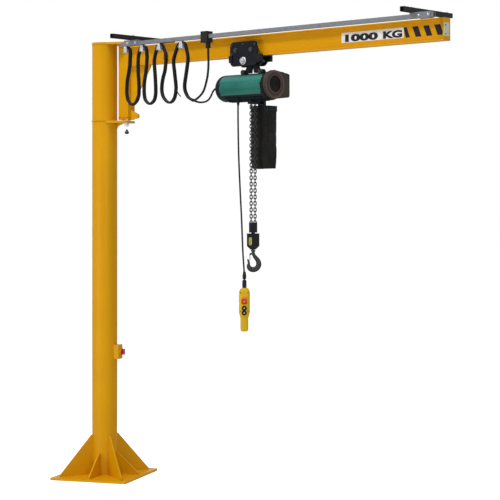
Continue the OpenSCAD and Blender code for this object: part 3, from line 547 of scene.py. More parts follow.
def smooth_line(points, step=0.012):
    """Evenly spaced points on a smooth curve through the given ones."""
    fine = []
    ends = [points[0]*2 - points[1], *points, points[-1]*2 - points[-2]]
    for a, b, c, d in zip(ends, ends[1:], ends[2:], ends[3:]):
        for k in range(24):
            t = k/24
            fine.append(0.5*((2*b) + (c - a)*t + (2*a - 5*b + 4*c - d)*t*t + (3*b - 3*c + d - a)*t**3))
    fine.append(points[-1].copy())
    total = sum((q - p).length for p, q in zip(fine, fine[1:]))
    count = max(2, round(total/step))
    out, gone, k = [fine[0]], 0.0, 0
    for i in range(1, count):
        goal = total*i/count
        while gone + (fine[k + 1] - fine[k]).length < goal:
            gone += (fine[k + 1] - fine[k]).length
            k += 1
        part = (goal - gone)/(fine[k + 1] - fine[k]).length
        out.append(fine[k].lerp(fine[k + 1], part))
    return [*out, fine[-1]]


# ---------------------------------------------------------------- geometry node trees
def tree_of(name, inputs):
    """An empty geometry node tree with its sockets, and its input and output nodes."""
    tree = bpy.data.node_groups.new(name, "GeometryNodeTree")
    tree.interface.new_socket("Geometry", in_out="INPUT", socket_type="NodeSocketGeometry")
    for label, kind, value in inputs:
        socket = tree.interface.new_socket(label, in_out="INPUT", socket_type="NodeSocket" + kind)
        socket.default_value = value
    tree.interface.new_socket("Material", in_out="INPUT", socket_type="NodeSocketMaterial")
    tree.interface.new_socket("Geometry", in_out="OUTPUT", socket_type="NodeSocketGeometry")
    return tree, tree.nodes.new("NodeGroupInput"), tree.nodes.new("NodeGroupOutput")


def end_tree(tree, given, out, geometry):
    """Real geometry with its material."""
    real = step(tree, "GeometryNodeRealizeInstances", {0: geometry})
    dressed = step(tree, "GeometryNodeSetMaterial", {0: real.outputs[0], "Material": given.outputs["Material"]})
    tree.links.new(dressed.outputs[0], out.inputs[0])
    return tree


def on_points(tree, given, out, shape, rotation):
    """The shape on each point given, turned by rotation."""
    spread = step(tree, "GeometryNodeInstanceOnPoints", {
        "Points": given.outputs[0], "Instance": shape.outputs[0], "Rotation": rotation.outputs[0]})
    return end_tree(tree, given, out, spread.outputs[0])


def bolt_tree():
    """A hexagon head with its washer on each point, turned along Axis, with a fixed random spin."""
    tree, given, out = tree_of("bolt_heads", [
        ("Head Radius", "Float", 0.01), ("Head Height", "Float", 0.008), ("Washer Radius", "Float", 0.013),
        ("Washer Height", "Float", 0.002), ("Axis", "Vector", (0.0, 0.0, 1.0)), ("Seed", "Int", 7)])
    size = given.outputs
    washer = step(tree, "GeometryNodeMeshCylinder", {"Vertices": 28, "Radius": size["Washer Radius"],
                                                     "Depth": size["Washer Height"]})
    head = step(tree, "GeometryNodeMeshCylinder", {"Vertices": 6, "Radius": size["Head Radius"],
                                                   "Depth": size["Head Height"]})
    crown = step(tree, "GeometryNodeMeshCone", {
        "Vertices": 28, "Radius Top": calc(tree, "MULTIPLY", size["Head Radius"], 0.62),
        "Radius Bottom": calc(tree, "MULTIPLY", size["Head Radius"], 0.86), "Depth": 0.0012})
    half_washer, half_head = (calc(tree, "MULTIPLY", size[k], 0.5) for k in ("Washer Height", "Head Height"))
    whole = step(tree, "GeometryNodeJoinGeometry")
    for shape, lift in ((washer, half_washer), (head, calc(tree, "ADD", size["Washer Height"], half_head)),
                        (crown, calc(tree, "ADD", size["Washer Height"], size["Head Height"]))):
        offset = step(tree, "ShaderNodeCombineXYZ", {"Z": lift})
        raised = step(tree, "GeometryNodeTransform", {0: shape.outputs[0], "Translation": offset.outputs[0]})
        tree.links.new(raised.outputs[0], whole.inputs[0])
    spin = step(tree, "FunctionNodeRandomValue", {"Seed": size["Seed"]}, data_type="FLOAT")
    for socket, value in zip([s for s in spin.inputs if s.type == "VALUE"][:2], (0.0, math.tau)):
        socket.default_value = value
    own = step(tree, "FunctionNodeAxisAngleToRotation", {
        "Axis": (0.0, 0.0, 1.0), "Angle": [s for s in spin.outputs if s.type == "VALUE"][0]})
    aim = step(tree, "FunctionNodeAlignRotationToVector", {"Vector": size["Axis"]}, axis="Z")
    both = step(tree, "FunctionNodeRotateRotation", {0: own.outputs[0], 1: aim.outputs[0]})
    return on_points(tree, given, out, whole, both)


def link_tree():
    """Chain links on each point, every second one turned by a quarter."""
    tree, given, out = tree_of("chain_links", [
        ("Wire Radius", "Float", 0.004), ("Inner Length", "Float", 0.026), ("Width", "Float", 0.02),
        ("First Turn", "Float", 0.785)])
    size = given.outputs
    outer = calc(tree, "MULTIPLY_ADD", size["Wire Radius"], 2.0, size["Inner Length"])
    shape = step(tree, "GeometryNodeCurvePrimitiveQuadrilateral", {"Width": size["Width"], "Height": outer})
    corner = calc(tree, "MULTIPLY", size["Width"], 0.499)
    oval = step(tree, "GeometryNodeFilletCurve", {"Curve": shape.outputs[0], "Count": 7, "Radius": corner},
                mode="POLY")
    wire = step(tree, "GeometryNodeCurvePrimitiveCircle", {"Resolution": 14, "Radius": size["Wire Radius"]})
    link = step(tree, "GeometryNodeCurveToMesh", {0: oval.outputs[0], "Profile Curve": wire.outputs[0]})
    upright = step(tree, "GeometryNodeTransform", {0: link.outputs[0], "Rotation": (math.pi/2, 0.0, 0.0)})
    odd = calc(tree, "MODULO", step(tree, "GeometryNodeInputIndex").outputs[0], 2.0)
    turn = calc(tree, "MULTIPLY_ADD", odd, math.pi/2, size["First Turn"])
    rotation = step(tree, "FunctionNodeAxisAngleToRotation", {"Axis": (0.0, 0.0, 1.0), "Angle": turn})
    return on_points(tree, given, out, upright, rotation)


def bead_tree():
    """A weld bead along each line: a round run whose ripples follow its length."""
    tree, given, out = tree_of("weld_bead", [
        ("Radius", "Float", 0.005), ("Ripple", "Float", 0.18), ("Pitch", "Float", 0.006)])
    size = given.outputs
    line = step(tree, "GeometryNodeMeshToCurve", {0: given.outputs[0]})
    fine = step(tree, "GeometryNodeResampleCurve", {"Curve": line.outputs[0], "Length": 0.002}, mode="LENGTH")
    turns = calc(tree, "DIVIDE", step(tree, "GeometryNodeSplineParameter").outputs["Length"], size["Pitch"])
    wave = calc(tree, "SINE", calc(tree, "MULTIPLY", turns, math.tau))
    swell = calc(tree, "MULTIPLY_ADD", wave, size["Ripple"], 1.0)
    uneven = calc(tree, "MULTIPLY_ADD", add(tree, "TexNoise", {"Scale": 60.0}).outputs[0], 0.5, 0.75)
    thick = calc(tree, "MULTIPLY", calc(tree, "MULTIPLY", swell, uneven), size["Radius"])
    sized = step(tree, "GeometryNodeSetCurveRadius", {"Curve": fine.outputs[0], "Radius": thick})
    ring = step(tree, "GeometryNodeCurvePrimitiveCircle", {"Resolution": 10, "Radius": 1.0})
    bead = step(tree, "GeometryNodeCurveToMesh", {0: sized.outputs[0], "Profile Curve": ring.outputs[0],
                                                  "Fill Caps": True})
    for socket in bead.inputs:
        if socket.name == "Scale":
            tree.links.new(thick, socket)
    return end_tree(tree, given, out, bead.outputs[0])


BOLTS, LINKS, BEADS = bolt_tree(), link_tree(), bead_tree()


def settled(holder):
    """The finished mesh of a helper object, which is then taken away."""
    bpy.context.scene.collection.objects.link(holder)
    bpy.context.view_layer.update()
    mesh = bpy.data.meshes.new_from_object(holder.evaluated_get(bpy.context.evaluated_depsgraph_get()))
    bpy.data.objects.remove(holder)
    return mesh


def grow(name, lines, tree, values, material, body, smooth_angle):
    """A plain mesh from a geometry node tree on lines of points; a lone point is a line of one."""
    seed, points, edges = bpy.data.meshes.new("seed"), [], []
    for line in lines:
        edges += [(len(points) + i, len(points) + i + 1) for i in range(len(line) - 1)]
        points += [tuple(p) for p in line]
    seed.from_pydata(points, edges, [])
    holder = bpy.data.objects.new(name + "_seed", seed)
    modifier = holder.modifiers.new(tree.name, "NODES")
    modifier.node_group = tree
    values = {**values, "Material": material}
    for item in tree.interface.items_tree:
        if item.item_type == "SOCKET" and item.in_out == "INPUT" and item.name in values:
            modifier[item.identifier] = values[item.name]
    shape = settled(holder)
    shape.name = name
    return piece(name, shape, material, body, smooth_angle)


def bolts(name, points, axis, width, height, body, material=PLATED, washer=1.25, seed=7):
    """Hexagon heads of that width across their corners, all along one axis."""
    return grow(name, [[p] for p in points], BOLTS, {
        "Head Radius": width/2*MM, "Head Height": height*MM, "Washer Radius": width/2*washer*MM,
        "Washer Height": max(1.6, height*0.16)*MM, "Axis": tuple(Vector(axis).normalized()), "Seed": seed},
        material, body, 30)


# ---------------------------------------------------------------- cables
RAIL_Y = -388
LOOPS = {
    "festoon_loop_1": ("jib", "carrier_1", 478, 591, [
        (437, 3692), (465, 3680), (478, 3650), (475, 3590), (471, 3537), (452, 3460), (440, 3411), (433, 3326),
        (440, 3276), (459, 3239), (503, 3208), (553, 3235), (578, 3278), (584, 3330), (581, 3404), (573, 3489),
        (575, 3595), (591, 3650), (604, 3680), (632, 3692)]),
    "festoon_loop_2": ("carrier_1", "carrier_2", 677, 796, [
        (636, 3692), (664, 3680), (677, 3650), (680, 3567), (665, 3463), (650, 3395), (646, 3337), (649, 3282),
        (665, 3239), (714, 3208), (763, 3231), (782, 3272), (786, 3330), (779, 3436), (769, 3562), (796, 3650),
        (809, 3680), (837, 3692)]),
    "festoon_loop_3": ("carrier_2", "carrier_3", 882, 1055, [
        (841, 3692), (869, 3680), (884, 3650), (908, 3590), (896, 3478), (872, 3412), (859, 3350), (860, 3300),
        (877, 3258), (910, 3225), (944, 3209), (980, 3217), (1008, 3246), (1022, 3292), (1024, 3348),
        (1008, 3454), (998, 3552), (1038, 3648), (1062, 3680), (1096, 3692)]),
    "festoon_loop_4": ("carrier_3", "tow_carrier", 1134, 1392, [
        (1100, 3692), (1128, 3680), (1141, 3650), (1164, 3565), (1156, 3500), (1140, 3420), (1126, 3351),
        (1128, 3310), (1143, 3275), (1172, 3240), (1228, 3212)]),
}
FLAT_CABLE, CORE_CABLE = flat_section(0.036, 0.018), flat_section(0.0185, 0.0175)
ONE, PAIR = (0,), (-9, 9)


def cable(name, path, section, body=None, side=(0, 1, 0), strands=ONE):
    """A sheathed cable along path, with its strands that many millimetres to the side."""
    bench = Bench()
    for dy in strands:
        bench.sweep([p + Vector((0, dy*MM, 0)) for p in path], section, Vector(side))
    return bench.piece(name, SHEATH, body, "cable_rubber", 60)


for name, (near, far, x0, x1, route) in LOOPS.items():
    path = smooth_line([on_jib(x, RAIL_Y, z) for x, z in route])
    split = name == "festoon_loop_4"
    loop = cable(name + "_cable", path, CORE_CABLE if split else FLAT_CABLE, strands=PAIR if split else ONE)
    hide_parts(name)
    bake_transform(loop)

tow_line = smooth_line([on_jib(x, RAIL_Y, z) for x, z in (
    (1222, 3216), (1250, 3221), (1288, 3240), (1325, 3268), (1352, 3306), (1381, 3385), (1393, 3450),
    (1396, 3510), (1394, 3570), (1392, 3626))])
tow_cable = cable("tow_line_cable", tow_line, circle(0.009))
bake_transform(tow_cable)

clamp = Bench()
for x, z in ((1212, 3221), (1232, 3217)):
    clamp.box(facing(on_jib(x, RAIL_Y, z), (0.3, 0, 1)), (0.010, 0.044, 0.020), 0.003)
loop_clamp = clamp.piece("loop_clamp", BLACK_PLASTIC, None, "black_plastic")
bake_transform(loop_clamp)

feed_line = smooth_line([on_jib(*p) for p in (
    (1224, -378, 3213), (1220, -340, 3207), (1210, -296, 3205), (1197, -250, 3209), (1182, -200, 3219),
    (1166, -155, 3237), (1150, -117, 3262), (1136, -86, 3291), (1130, -64, 3316), (1138, -52, 3327),
    (1150, -50, 3329))])
feed = cable("feed_cable", feed_line, circle(0.0078), side=(0.3, 0.1, 1))
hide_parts("hoist_feed_cable")
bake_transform(feed)

pendant_line = smooth_line([on_trolley(*p) for p in (
    (-130, -40, 3222), (-130, -41, 3150), (-126, -44, 3020), (-110, -54, 2780), (-80, -70, 2520),
    (-43, -90, 2260), (-8, -113, 2020), (24, -132, 1860), (PENDANT_X, PENDANT_Y, 1790),
    (PENDANT_X, PENDANT_Y, 1762))])
pendant_cable = cable("pendant_line_cable", pendant_line, circle(0.007), "trolley")
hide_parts("pendant_cable")

# ---------------------------------------------------------------- load chain
LINK_PITCH, FALL_LINKS, SLACK_LINKS = 26, 38, 14
FALL_Y, SLACK_Y = 23, 105
BLOCK_TOP = 2145
CHAIN_FOOT = BLOCK_TOP + 74
LINK_SIZE = {"Wire Radius": 0.004, "Inner Length": 0.0264, "Width": 0.0192}
falls = [[on_trolley(0, y, CHAIN_FOOT + LINK_PITCH*(i + 0.5))] for y in (-FALL_Y, FALL_Y)
         for i in range(FALL_LINKS)]
chain = grow("chain_falls", falls, LINKS, LINK_SIZE, CHAIN_STEEL, None, 60)
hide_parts("load_chain")
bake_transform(chain)
slack = [[on_trolley(0, SLACK_Y, 3250 - LINK_PITCH*i)] for i in range(SLACK_LINKS)]
grow("slack_chain", slack, LINKS, LINK_SIZE, CHAIN_STEEL, "trolley", 60)

# ---------------------------------------------------------------- chain bag
BAG = on_trolley(2, 125, 2672)
BAG_SIZE, BAG_TALL, BAG_GIRTH = (190, 126), 505, 0.632
CORNERS = 0.26


def bag_point(around, up):
    """A point on the bag: around from 0 to 1, up from 0 at its foot to 1 at its rim, in millimetres."""
    angle = math.tau*around
    c, s = math.cos(angle), math.sin(angle)
    slump = math.sin(math.pi*min(1.0, up*1.15))
    fold = 2.6*math.sin(3*angle + 5.2*up)*slump + 1.7*math.sin(7*angle - 9*up + 1.3)*slump
    crease = (-3.4*math.exp(-((up - 0.34 - 0.05*math.sin(2*angle))/0.035)**2)
              - 2.6*math.exp(-((up - 0.62 + 0.06*math.sin(angle + 1))/0.03)**2))
    fullness = -7*(1 - slump)*(1 if up < 0.5 else 0) + 2.5*math.exp(-((up - 0.16)/0.12)**2)
    out = fold + crease*0.8 + fullness
    return (BAG_SIZE[0]/2*math.copysign(abs(c)**CORNERS, c) + out*c,
            BAG_SIZE[1]/2*math.copysign(abs(s)**CORNERS, s) + out*s, BAG_TALL*up)


rows, columns = 64, 96
bag = Bench()
grid = [bag.verts(BAG + Vector(bag_point(k/columns, i/rows))*MM for k in range(columns))
        for i in range(rows + 1)]
bag.sleeve(grid, BAG_GIRTH, [BAG_TALL*MM*i/rows for i in range(rows + 1)])
floor_faces, inner = [], grid[0]
for share, sag in ((0.8, -6), (0.5, -8), (0.2, -9)):
    ring = []
    for k in range(columns):
        x, y, _ = bag_point(k/columns, 0)
        ring += bag.verts([BAG + Vector((x*share, y*share, 2*math.cos(5*k/columns) + sag*0.2))*MM])
    floor_faces += [bag.work.faces.new([inner[k - columns + 1], inner[k], ring[k], ring[k - columns + 1]])
                    for k in range(columns)]
    inner = ring
floor_faces.append(bag.work.faces.new(inner))
uv = bag.work.loops.layers.uv.verify()
for face in floor_faces:
    for loop in face.loops:
        loop[uv].uv = loop.vert.co.xy
bag_piece = bag.piece("bag_shell", BAG_CLOTH, None, "bag_fabric", 80)
wall = bag_piece.modifiers.new("wall", "SOLIDIFY")
wall.thickness = 0.0022
wall.offset = -1
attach(bag_piece, "trolley")
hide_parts("chain_bag")

# ---------------------------------------------------------------- beam: load plate, stripes, end board
WEB_FACE_Y = -3.0
SIGN_Z0, SIGN_Z1 = 3624, 3702
PLATE_X0, PLATE_X1 = 2458, 3065
WORDS_X, WORDS_Z, WORDS_TALL = 2766.5, 3657.5, 0.057
MARK_THICK = 0.0006


def near_face(x, y, z):
    """A frame on the jib whose X runs along the beam, whose Y is up and whose Z looks to the near side."""
    return Matrix.Translation(on_jib(x, y, z)) @ NEAR


def words(name, text, width, place):
    """Plain bold letters as a mesh on the frame place, centred on it."""
    curve = bpy.data.curves.new(name, "FONT")
    curve.body = text
    curve.size = 1.0
    curve.align_x, curve.align_y = "CENTER", "CENTER"
    curve.extrude = 0.5
    curve.offset = 0.055
    curve.resolution_u = 5
    mesh = settled(bpy.data.objects.new(name + "_text", curve))
    xs, ys = [v.co.x for v in mesh.vertices], [v.co.y for v in mesh.vertices]
    scale = (width/(max(xs) - min(xs)), WORDS_TALL/(max(ys) - min(ys)), MARK_THICK, 1)
    middle = (-(max(xs) + min(xs))/2, -(max(ys) + min(ys))/2, 0.5)
    mesh.transform(Matrix.Diagonal(scale) @ Matrix.Translation(middle))
    mesh.transform(place)
    work = bmesh.new()
    work.from_mesh(mesh)
    bmesh.ops.remove_doubles(work, verts=work.verts, dist=1e-6)
    work.to_mesh(mesh)
    work.free()
    mesh.name = name
    piece(name, mesh, MARK_DARK, "jib", 30)


plate = Bench()
plate.prism(near_face((PLATE_X0 + PLATE_X1)/2, WEB_FACE_Y, (SIGN_Z0 + SIGN_Z1)/2),
            rounded_outline((PLATE_X1 - PLATE_X0)*MM, (SIGN_Z1 - SIGN_Z0)*MM, 0.006), 0.0016, 0.0004)
plate.piece("load_plate", MARK_WHITE, "jib", "yellow_paint", 30)
for text, along, wide, name in (("1000", -109.4, 0.3241, "load_figures"),
                                ("KG", 192.8, 0.1839, "load_letters")):
    words(name, text, wide, near_face(WORDS_X + along, WEB_FACE_Y - 1.6, WORDS_Z))

# Each stripe's feet and tops; the first one starts under the load plate
STRIPES = ((3082, 3123, 3062, 3091), (3176, 3230, 3144, 3198), (3278, 3330, 3246, 3298),
           (3378, 3434, 3346, 3402))
stripes = Bench()
for foot0, foot1, top0, top1 in STRIPES:
    corners = ((foot0, SIGN_Z0), (foot1, SIGN_Z0), (top1, SIGN_Z1), (top0, SIGN_Z1))
    stripes.prism(near_face(0, WEB_FACE_Y, 0), [(x*MM, z*MM) for x, z in corners], 0.0005)
stripes.piece("hazard_stripes", MARK_DARK, "jib", "black_paint", 30)

END_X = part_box("beam_end_stops")[1][0]/MM - PIVOT.x/MM
board = Bench()
board.prism(Matrix.Translation(on_jib(END_X, -7.5, 3661)) @ TO_TIP, rounded_outline(0.065, 0.098, 0.004),
            0.0012, 0.0003)
board.piece("end_board", BOARD_PALE, "jib", "yellow_paint", 30)
bolts("end_board_screws", [on_jib(END_X + 1.2, -18, z) for z in (3626, 3691)], (1, 0, 0), 9, 3, "jib",
      BOLT_DARK, 1.15)

# ---------------------------------------------------------------- welds
COLUMN_WELD_R = 110.5
BASE_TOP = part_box("base_plate")[1][2]/MM
BRACKET_TOP, BRACKET_Z = 3106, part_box("lower_bracket")[0][2]/MM
POST_Z0, POST_Z1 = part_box("post_end_plates")[0][2]/MM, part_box("post_end_plates")[1][2]/MM
POST_PLATE = 20
BEAM_FOOT, BEAM_TOP = 3578, 3747


def ring_line(centre, radius, count=60):
    return [centre + Vector((radius*math.cos(math.tau*k/count), radius*math.sin(math.tau*k/count), 0))
            for k in range(count + 1)]


def rect_line(z, width, depth):
    """Four lines round the post at a height."""
    w, d = width/2, depth/2
    corners = [on_jib(x, y, z) for x, y in ((w, d), (-w, d), (-w, -d), (w, -d))]
    return [[corners[i - 4], corners[i - 3]] for i in range(4)]


def welds(name, lines, radius, body):
    return grow(name, lines, BEADS, {"Radius": radius*MM, "Ripple": 0.12, "Pitch": 0.007}, YELLOW_WELD, body,
                70)


column_welds = [ring_line(on_column(0, 0, z), COLUMN_WELD_R*MM) for z in (BASE_TOP, BRACKET_TOP)]
CORNER_GUSSET, SIDE_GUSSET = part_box("gussets")[1][2]/MM - BASE_TOP, 190
for k in range(8):
    a = math.radians(45*k)
    reach, tall = (320, SIDE_GUSSET) if k % 2 == 0 else (400, CORNER_GUSSET)
    ux, uy = math.cos(a), math.sin(a)
    for side in (-6, 6):
        foot = [(COLUMN_WELD_R + 3, BASE_TOP), (reach, BASE_TOP)]
        post = [(COLUMN_WELD_R, BASE_TOP + 4), (COLUMN_WELD_R, BASE_TOP + tall - 6)]
        column_welds += [[on_column(ux*r - uy*side, uy*r + ux*side, z) for r, z in line]
                         for line in (foot, post)]
welds("column_welds", column_welds, 4.2, "column")

jib_welds = rect_line(POST_Z0 + POST_PLATE, 121, 81) + rect_line(POST_Z1 - POST_PLATE, 121, 81)
for y in (-4, 4):
    jib_welds += [[on_jib(62, y, 3225), on_jib(62, y, 3560)], [on_jib(70, y, 3577), on_jib(305, y, 3577)]]
for y in (-42, 42):
    jib_welds.append([on_jib(61, y*0.93, 3582), on_jib(61, y*0.93, 3742)])
jib_welds += [[on_jib(61, -40, z), on_jib(61, 40, z)] for z in (BEAM_FOOT, BEAM_TOP)]
jib_welds += [[on_jib(END_X - 8, y, 3588), on_jib(END_X - 8, y, 3738)] for y in (-4, 4)]
welds("jib_welds", jib_welds, 3.4, "jib")

# ---------------------------------------------------------------- pivot fixings
HEAD_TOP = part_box("head_plate")[1][2]
bolts("pivot_nut", [Vector((PIVOT.x, PIVOT.y, HEAD_TOP + 0.001))], (0, 0, 1), 52, 10, "column", BOLT_DARK, 1.2)
bracket_bolt = Bench()
bracket_bolt.lathe(Matrix.Translation(on_column(238, -62, BRACKET_Z)), [
    (0, 0.004), (0.009, 0.004), (0.009, -0.010), (0.015, -0.012), (0.019, -0.020), (0.018, -0.030),
    (0.012, -0.036), (0, -0.037)], 28)
bracket_bolt.piece("bracket_bolt", BOLT_DARK, "column", "black_plastic", 40)

# ---------------------------------------------------------------- trolley and hoist fittings
PLATE_OUT = 62
AXLES, AXLE_Z = (-135, 35), 3629.4
BAR_X, BAR_Z, BAR_END = (-52, 70), 3542, 86
washers = Bench()
for x, side in ((BAR_X[0], -1), (BAR_X[0], 1), (BAR_X[1], 1)):
    washers.lathe(facing(on_trolley(x, side*PLATE_OUT, BAR_Z), (0, side, 0)), [
        (0, 0.0002), (0.031, 0.0002), (0.032, 0.001), (0.032, 0.003), (0.031, 0.004), (0, 0.004)], 48)
    washers.lathe(facing(on_trolley(x, side*BAR_END, BAR_Z), (0, side, 0)), [
        (0, 0), (0.0135, 0), (0.012, 0.0025), (0, 0.0025)], 28)
washers.piece("bar_washers", PLATED, "trolley", "galvanised_steel", 30)
PLATE_SCREWS = ((-178, 3668), (78, 3668), (-178, 3598), (-50, 3676))
for side, label in ((-1, "near"), (1, "far")):
    bolts("axle_nuts_" + label, [on_trolley(x, side*PLATE_OUT, AXLE_Z) for x in AXLES], (0, side, 0), 36, 12,
          "trolley", BOLT_DARK, 1.2, 3)
    bolts("plate_screws_" + label, [on_trolley(x, side*PLATE_OUT, z) for x, z in PLATE_SCREWS], (0, side, 0),
          17, 6, "trolley", BOLT_DARK, 1.2, 5)
pads, pins = Bench(), Bench()
for side in (-1, 1):
    for x, turn in ((-207, -1), (150, 1)):
        pads.lathe(facing(on_trolley(x, side*57, 3560), (turn, 0, 0)), [
            (0, -0.004), (0.0125, -0.004), (0.0125, 0.001), (0.011, 0.004), (0.007, 0.006), (0, 0.0065)], 28)
    for x in (-95, 95):
        pins.lathe(facing(on_trolley(x, side*13, 3452), (0, side, 0)), [
            (0, 0), (0.022, 0), (0.022, 0.012), (0.020, 0.015), (0.012, 0.015), (0.011, 0.020), (0, 0.020)], 32)
pads.piece("bumper_pads", RUBBER, "trolley", "black_plastic", 50)
pins.piece("bracket_pins", BOLT_DARK, "trolley", "black_paint", 40)

HOIST_Z = 3329
COVER_BACK, COVER_FACE, DISH_FLOOR = 212, 234, 223.2
CENTRE_Y, CENTRE_Z = 5, 3341
DISH_Y, DISH_Z, DISH_R = 11, 3347, 68


def out_of_end(x, y, z):
    """A frame on the hoist whose Z looks out of the cover's end."""
    return facing(on_trolley(x, y, z), (1, 0, 0))


dish, rim, seam = Bench(), Bench(), Bench()
ribs = [(0, 0), (DISH_R - 0.4, 0)]
for k in range(7):
    r = DISH_R - 2 - 9*k
    ribs += [(r, 1.2), (r - 1.2, 3.4), (r - 4.2, 3.4), (r - 5.4, 1.2)]
# The recessed dish floor is near black: painted shade in the recess.
dish.lathe(out_of_end(DISH_FLOOR, DISH_Y, DISH_Z), [(r*MM, h*MM) for r, h in [*ribs, (0, 1.2)]], 72)
dish.piece("cover_dish", COVER_DARK_AND_SHADE, "trolley", "grey_plastic", 40)
# The raised rims take the lighter rim plastic: painted highlight on their rounded edges.
rim.revolve(out_of_end(COVER_FACE, CENTRE_Y, CENTRE_Z), (
    (96, -2), (98, 1.4), (102, 2.8), (108, 2.8), (113, 0.8), (115.2, -2.5), (110, -4)))
rim.revolve(out_of_end(COVER_FACE, DISH_Y, DISH_Z), (
    (67, -3), (68.2, 0.6), (70, 1.4), (72.5, 1.4), (74, -0.6), (73, -3)))
rim.piece("cover_rim_painted_highlight", COVER_RIM_HIGHLIGHT, "trolley", "grey_plastic", 40)
# The cover's outline as arcs: centre y and z, radius, start and turn in degrees, and count of steps
ARCS = ((CENTRE_Y, CENTRE_Z, 114, 90, 180, 24), (166, CENTRE_Z - 81, 13, 270, 90, 6),
        (166, CENTRE_Z + 78, 13, 0, 90, 6))
edge = []
for cy, cz, radius, start, turn, count in ARCS:
    for k in range(count + 1):
        a = math.radians(start + turn*k/count)
        edge.append((cy + radius*math.cos(a), cz + radius*math.sin(a)))
for x, radius in ((COVER_FACE - 1, 0.0026), (COVER_BACK, 0.0030)):
    seam.sweep([on_trolley(x, y, z) for y, z in edge], circle(radius, 10), Vector((1, 0, 0)), closed=True)
seam.piece("cover_seams", COVER_PLASTIC, "trolley", "grey_plastic", 50)
COVER_SCREWS = ((165, 3262), (165, 3418), (100, 3250), (100, 3442))
bolts("cover_screws", [on_trolley(COVER_FACE, y, z) for y, z in COVER_SCREWS], (1, 0, 0), 10, 3.5, "trolley",
      BOLT_DARK, 1.2, 11)


def round_hoist(angle, radius):
    """A point's y and z about the hoist's axis, and its outward direction; angle is up from the near side."""
    a = math.radians(angle)
    return (-radius*math.cos(a), HOIST_Z + radius*math.sin(a)), Vector((0, -math.cos(a), math.sin(a)))


def strip(half, low, high, top=None):
    """A small flat section; top is its half width on the outside."""
    top = top or half
    return [(-half, low), (half, low), (top, high), (-top, high)]


TEAL_R, FIN_R = 115, (110, 116)
for angle in (-29, 10, 49):
    (y, z), outward = round_hoist(angle, TEAL_R)
    bolts("teal_screws_%d" % (angle + 90), [on_trolley(x, y, z) for x in (-270, 176)], outward, 9, 2.6,
          "trolley", BOLT_DARK, 1.3, angle + 90)
bands, fins = Bench(), Bench()
for x in (-278, 184):
    line = [on_trolley(x, *round_hoist(a, TEAL_R)[0]) for a in range(-35, 56, 3)]
    bands.sweep(line, strip(0.0015, -0.0016, 0.0012), Vector((1, 0, 0)))
bands.revolve(out_of_end(198, 0, HOIST_Z), ((109, -9), (113, -8), (113, 8), (109, 9)))
bands.piece("hoist_bands", COVER_DARK_AND_SHADE, "trolley", "grey_plastic", 40)
for angle in range(205, 326, 15):
    (y, z), outward = round_hoist(angle, FIN_R[0])
    (y2, z2), _ = round_hoist(angle, FIN_R[1])
    fins.sweep([on_trolley(x, (y + y2)/2, (z + z2)/2) for x in (-250, -100, 60, 176)],
               strip(0.0016, -0.0045, 0.0045, 0.0010), outward.cross(Vector((1, 0, 0))))
fins.piece("hoist_fins", BLACK, "trolley", "black_paint", 30)

# A ridged, tapering sleeve where a cable leaves the hoist
RELIEF = [(0.0, 0.0), (0.014, 0.0), (0.014, 0.006)]
for k in range(5):
    top = 0.008 + 0.006*k
    r = 0.0135 - 0.0008*k
    RELIEF += [(r, top), (r, top + 0.003), (r - 0.0016, top + 0.004), (r - 0.0016, top + 0.0055)]
RELIEF += [(0.0088, 0.040), (0.0, 0.0402)]
for name, place, squash in (("pendant_entry_relief", facing(on_trolley(-130, -40, 3224), (0, 0.02, -1)), 1),
                            ("feed_entry_relief", facing(on_jib(1151, -50, 3329), (-1, 0, 0)), 0.45)):
    relief = Bench()
    relief.lathe(place, [(r, h*squash) for r, h in RELIEF], 28)
    relief.piece(name, RUBBER, "trolley", "black_plastic", 40)

# ---------------------------------------------------------------- festoon fittings
CHEEK = ((-0.017, -0.026), (0.017, -0.026), (0.020, -0.008), (0.014, 0.030), (-0.014, 0.030), (-0.020, -0.008))
for name, x in (("jib", 435), ("carrier_1", 634), ("carrier_2", 839), ("carrier_3", 1098)):
    fitting = Bench()
    for back in (-18.4, 20.9):
        fitting.prism(near_face(x, RAIL_Y + back, 3668), CHEEK, 0.0025, 0.0006)
    fitting.box(Matrix.Translation(on_jib(x, RAIL_Y, 3646)), (0.052, 0.040, 0.004), 0.001)
    fitting.piece("cheeks_" + name, PLATED, name, "galvanised_steel", 30)
    for side in (-1, 1):
        spots = [on_jib(x + dx, RAIL_Y + side*21, z) for dx, z in ((-9, 3652), (9, 3652), (0, 3684))]
        bolts("cheek_bolts_%s_%d" % (name, side + 1), spots, (0, side, 0), 10, 5, name, PLATED, 1.2, 13)
tail_line = smooth_line([on_jib(x, RAIL_Y - 4, z) for x, z in (
    (1008, 3440), (1012, 3400), (1020, 3352), (1034, 3310), (1056, 3278), (1082, 3254))])
tail_piece = cable("spare_core_tail", tail_line, circle(0.0045, 10))
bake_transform(tail_piece)

ARM_TOP, ARM_X = 3782, (514, 3442)
bolts("arm_bolts", [on_jib(x, y, ARM_TOP) for x in ARM_X for y in (-25, 25, RAIL_Y)], (0, 0, 1), 18, 9, "jib",
      PLATED, 1.3, 17)
bolts("clamp_bolts", [on_jib(x, RAIL_Y - 21, 3722) for x in (466, 562, 3516, 3600)], (0, -1, 0), 15, 7, "jib",
      PLATED, 1.25, 19)

# ---------------------------------------------------------------- hook block label
label = Bench()
label.prism(Matrix.Translation(on_trolley(10, -43, 2082)) @ NEAR, rounded_outline(0.034, 0.066, 0.012),
            0.0008, 0.0002)
label.piece("block_label", MARK_YELLOW, "hook_block", "black_paint", 30)

# ---------------------------------------------------------------- pendant
CASE_SIDES, CASE_CORNERS = 40, 3.4
# Height, width across the face and depth of each level, from the foot of the handle up
CASE = ((0, 40, 34), (3, 52, 44), (9, 60, 50), (20, 62, 52), (96, 62, 52), (112, 66, 54), (128, 76, 58),
        (150, 85, 62), (200, 87, 63), (262, 87, 64), (318, 84, 63), (334, 76, 58), (344, 62, 48), (349, 44, 36),
        (350.5, 30, 26))
FRONT, GLAND_TOP = 31.4, 350
BUTTON_GRIP = "button_plastic"


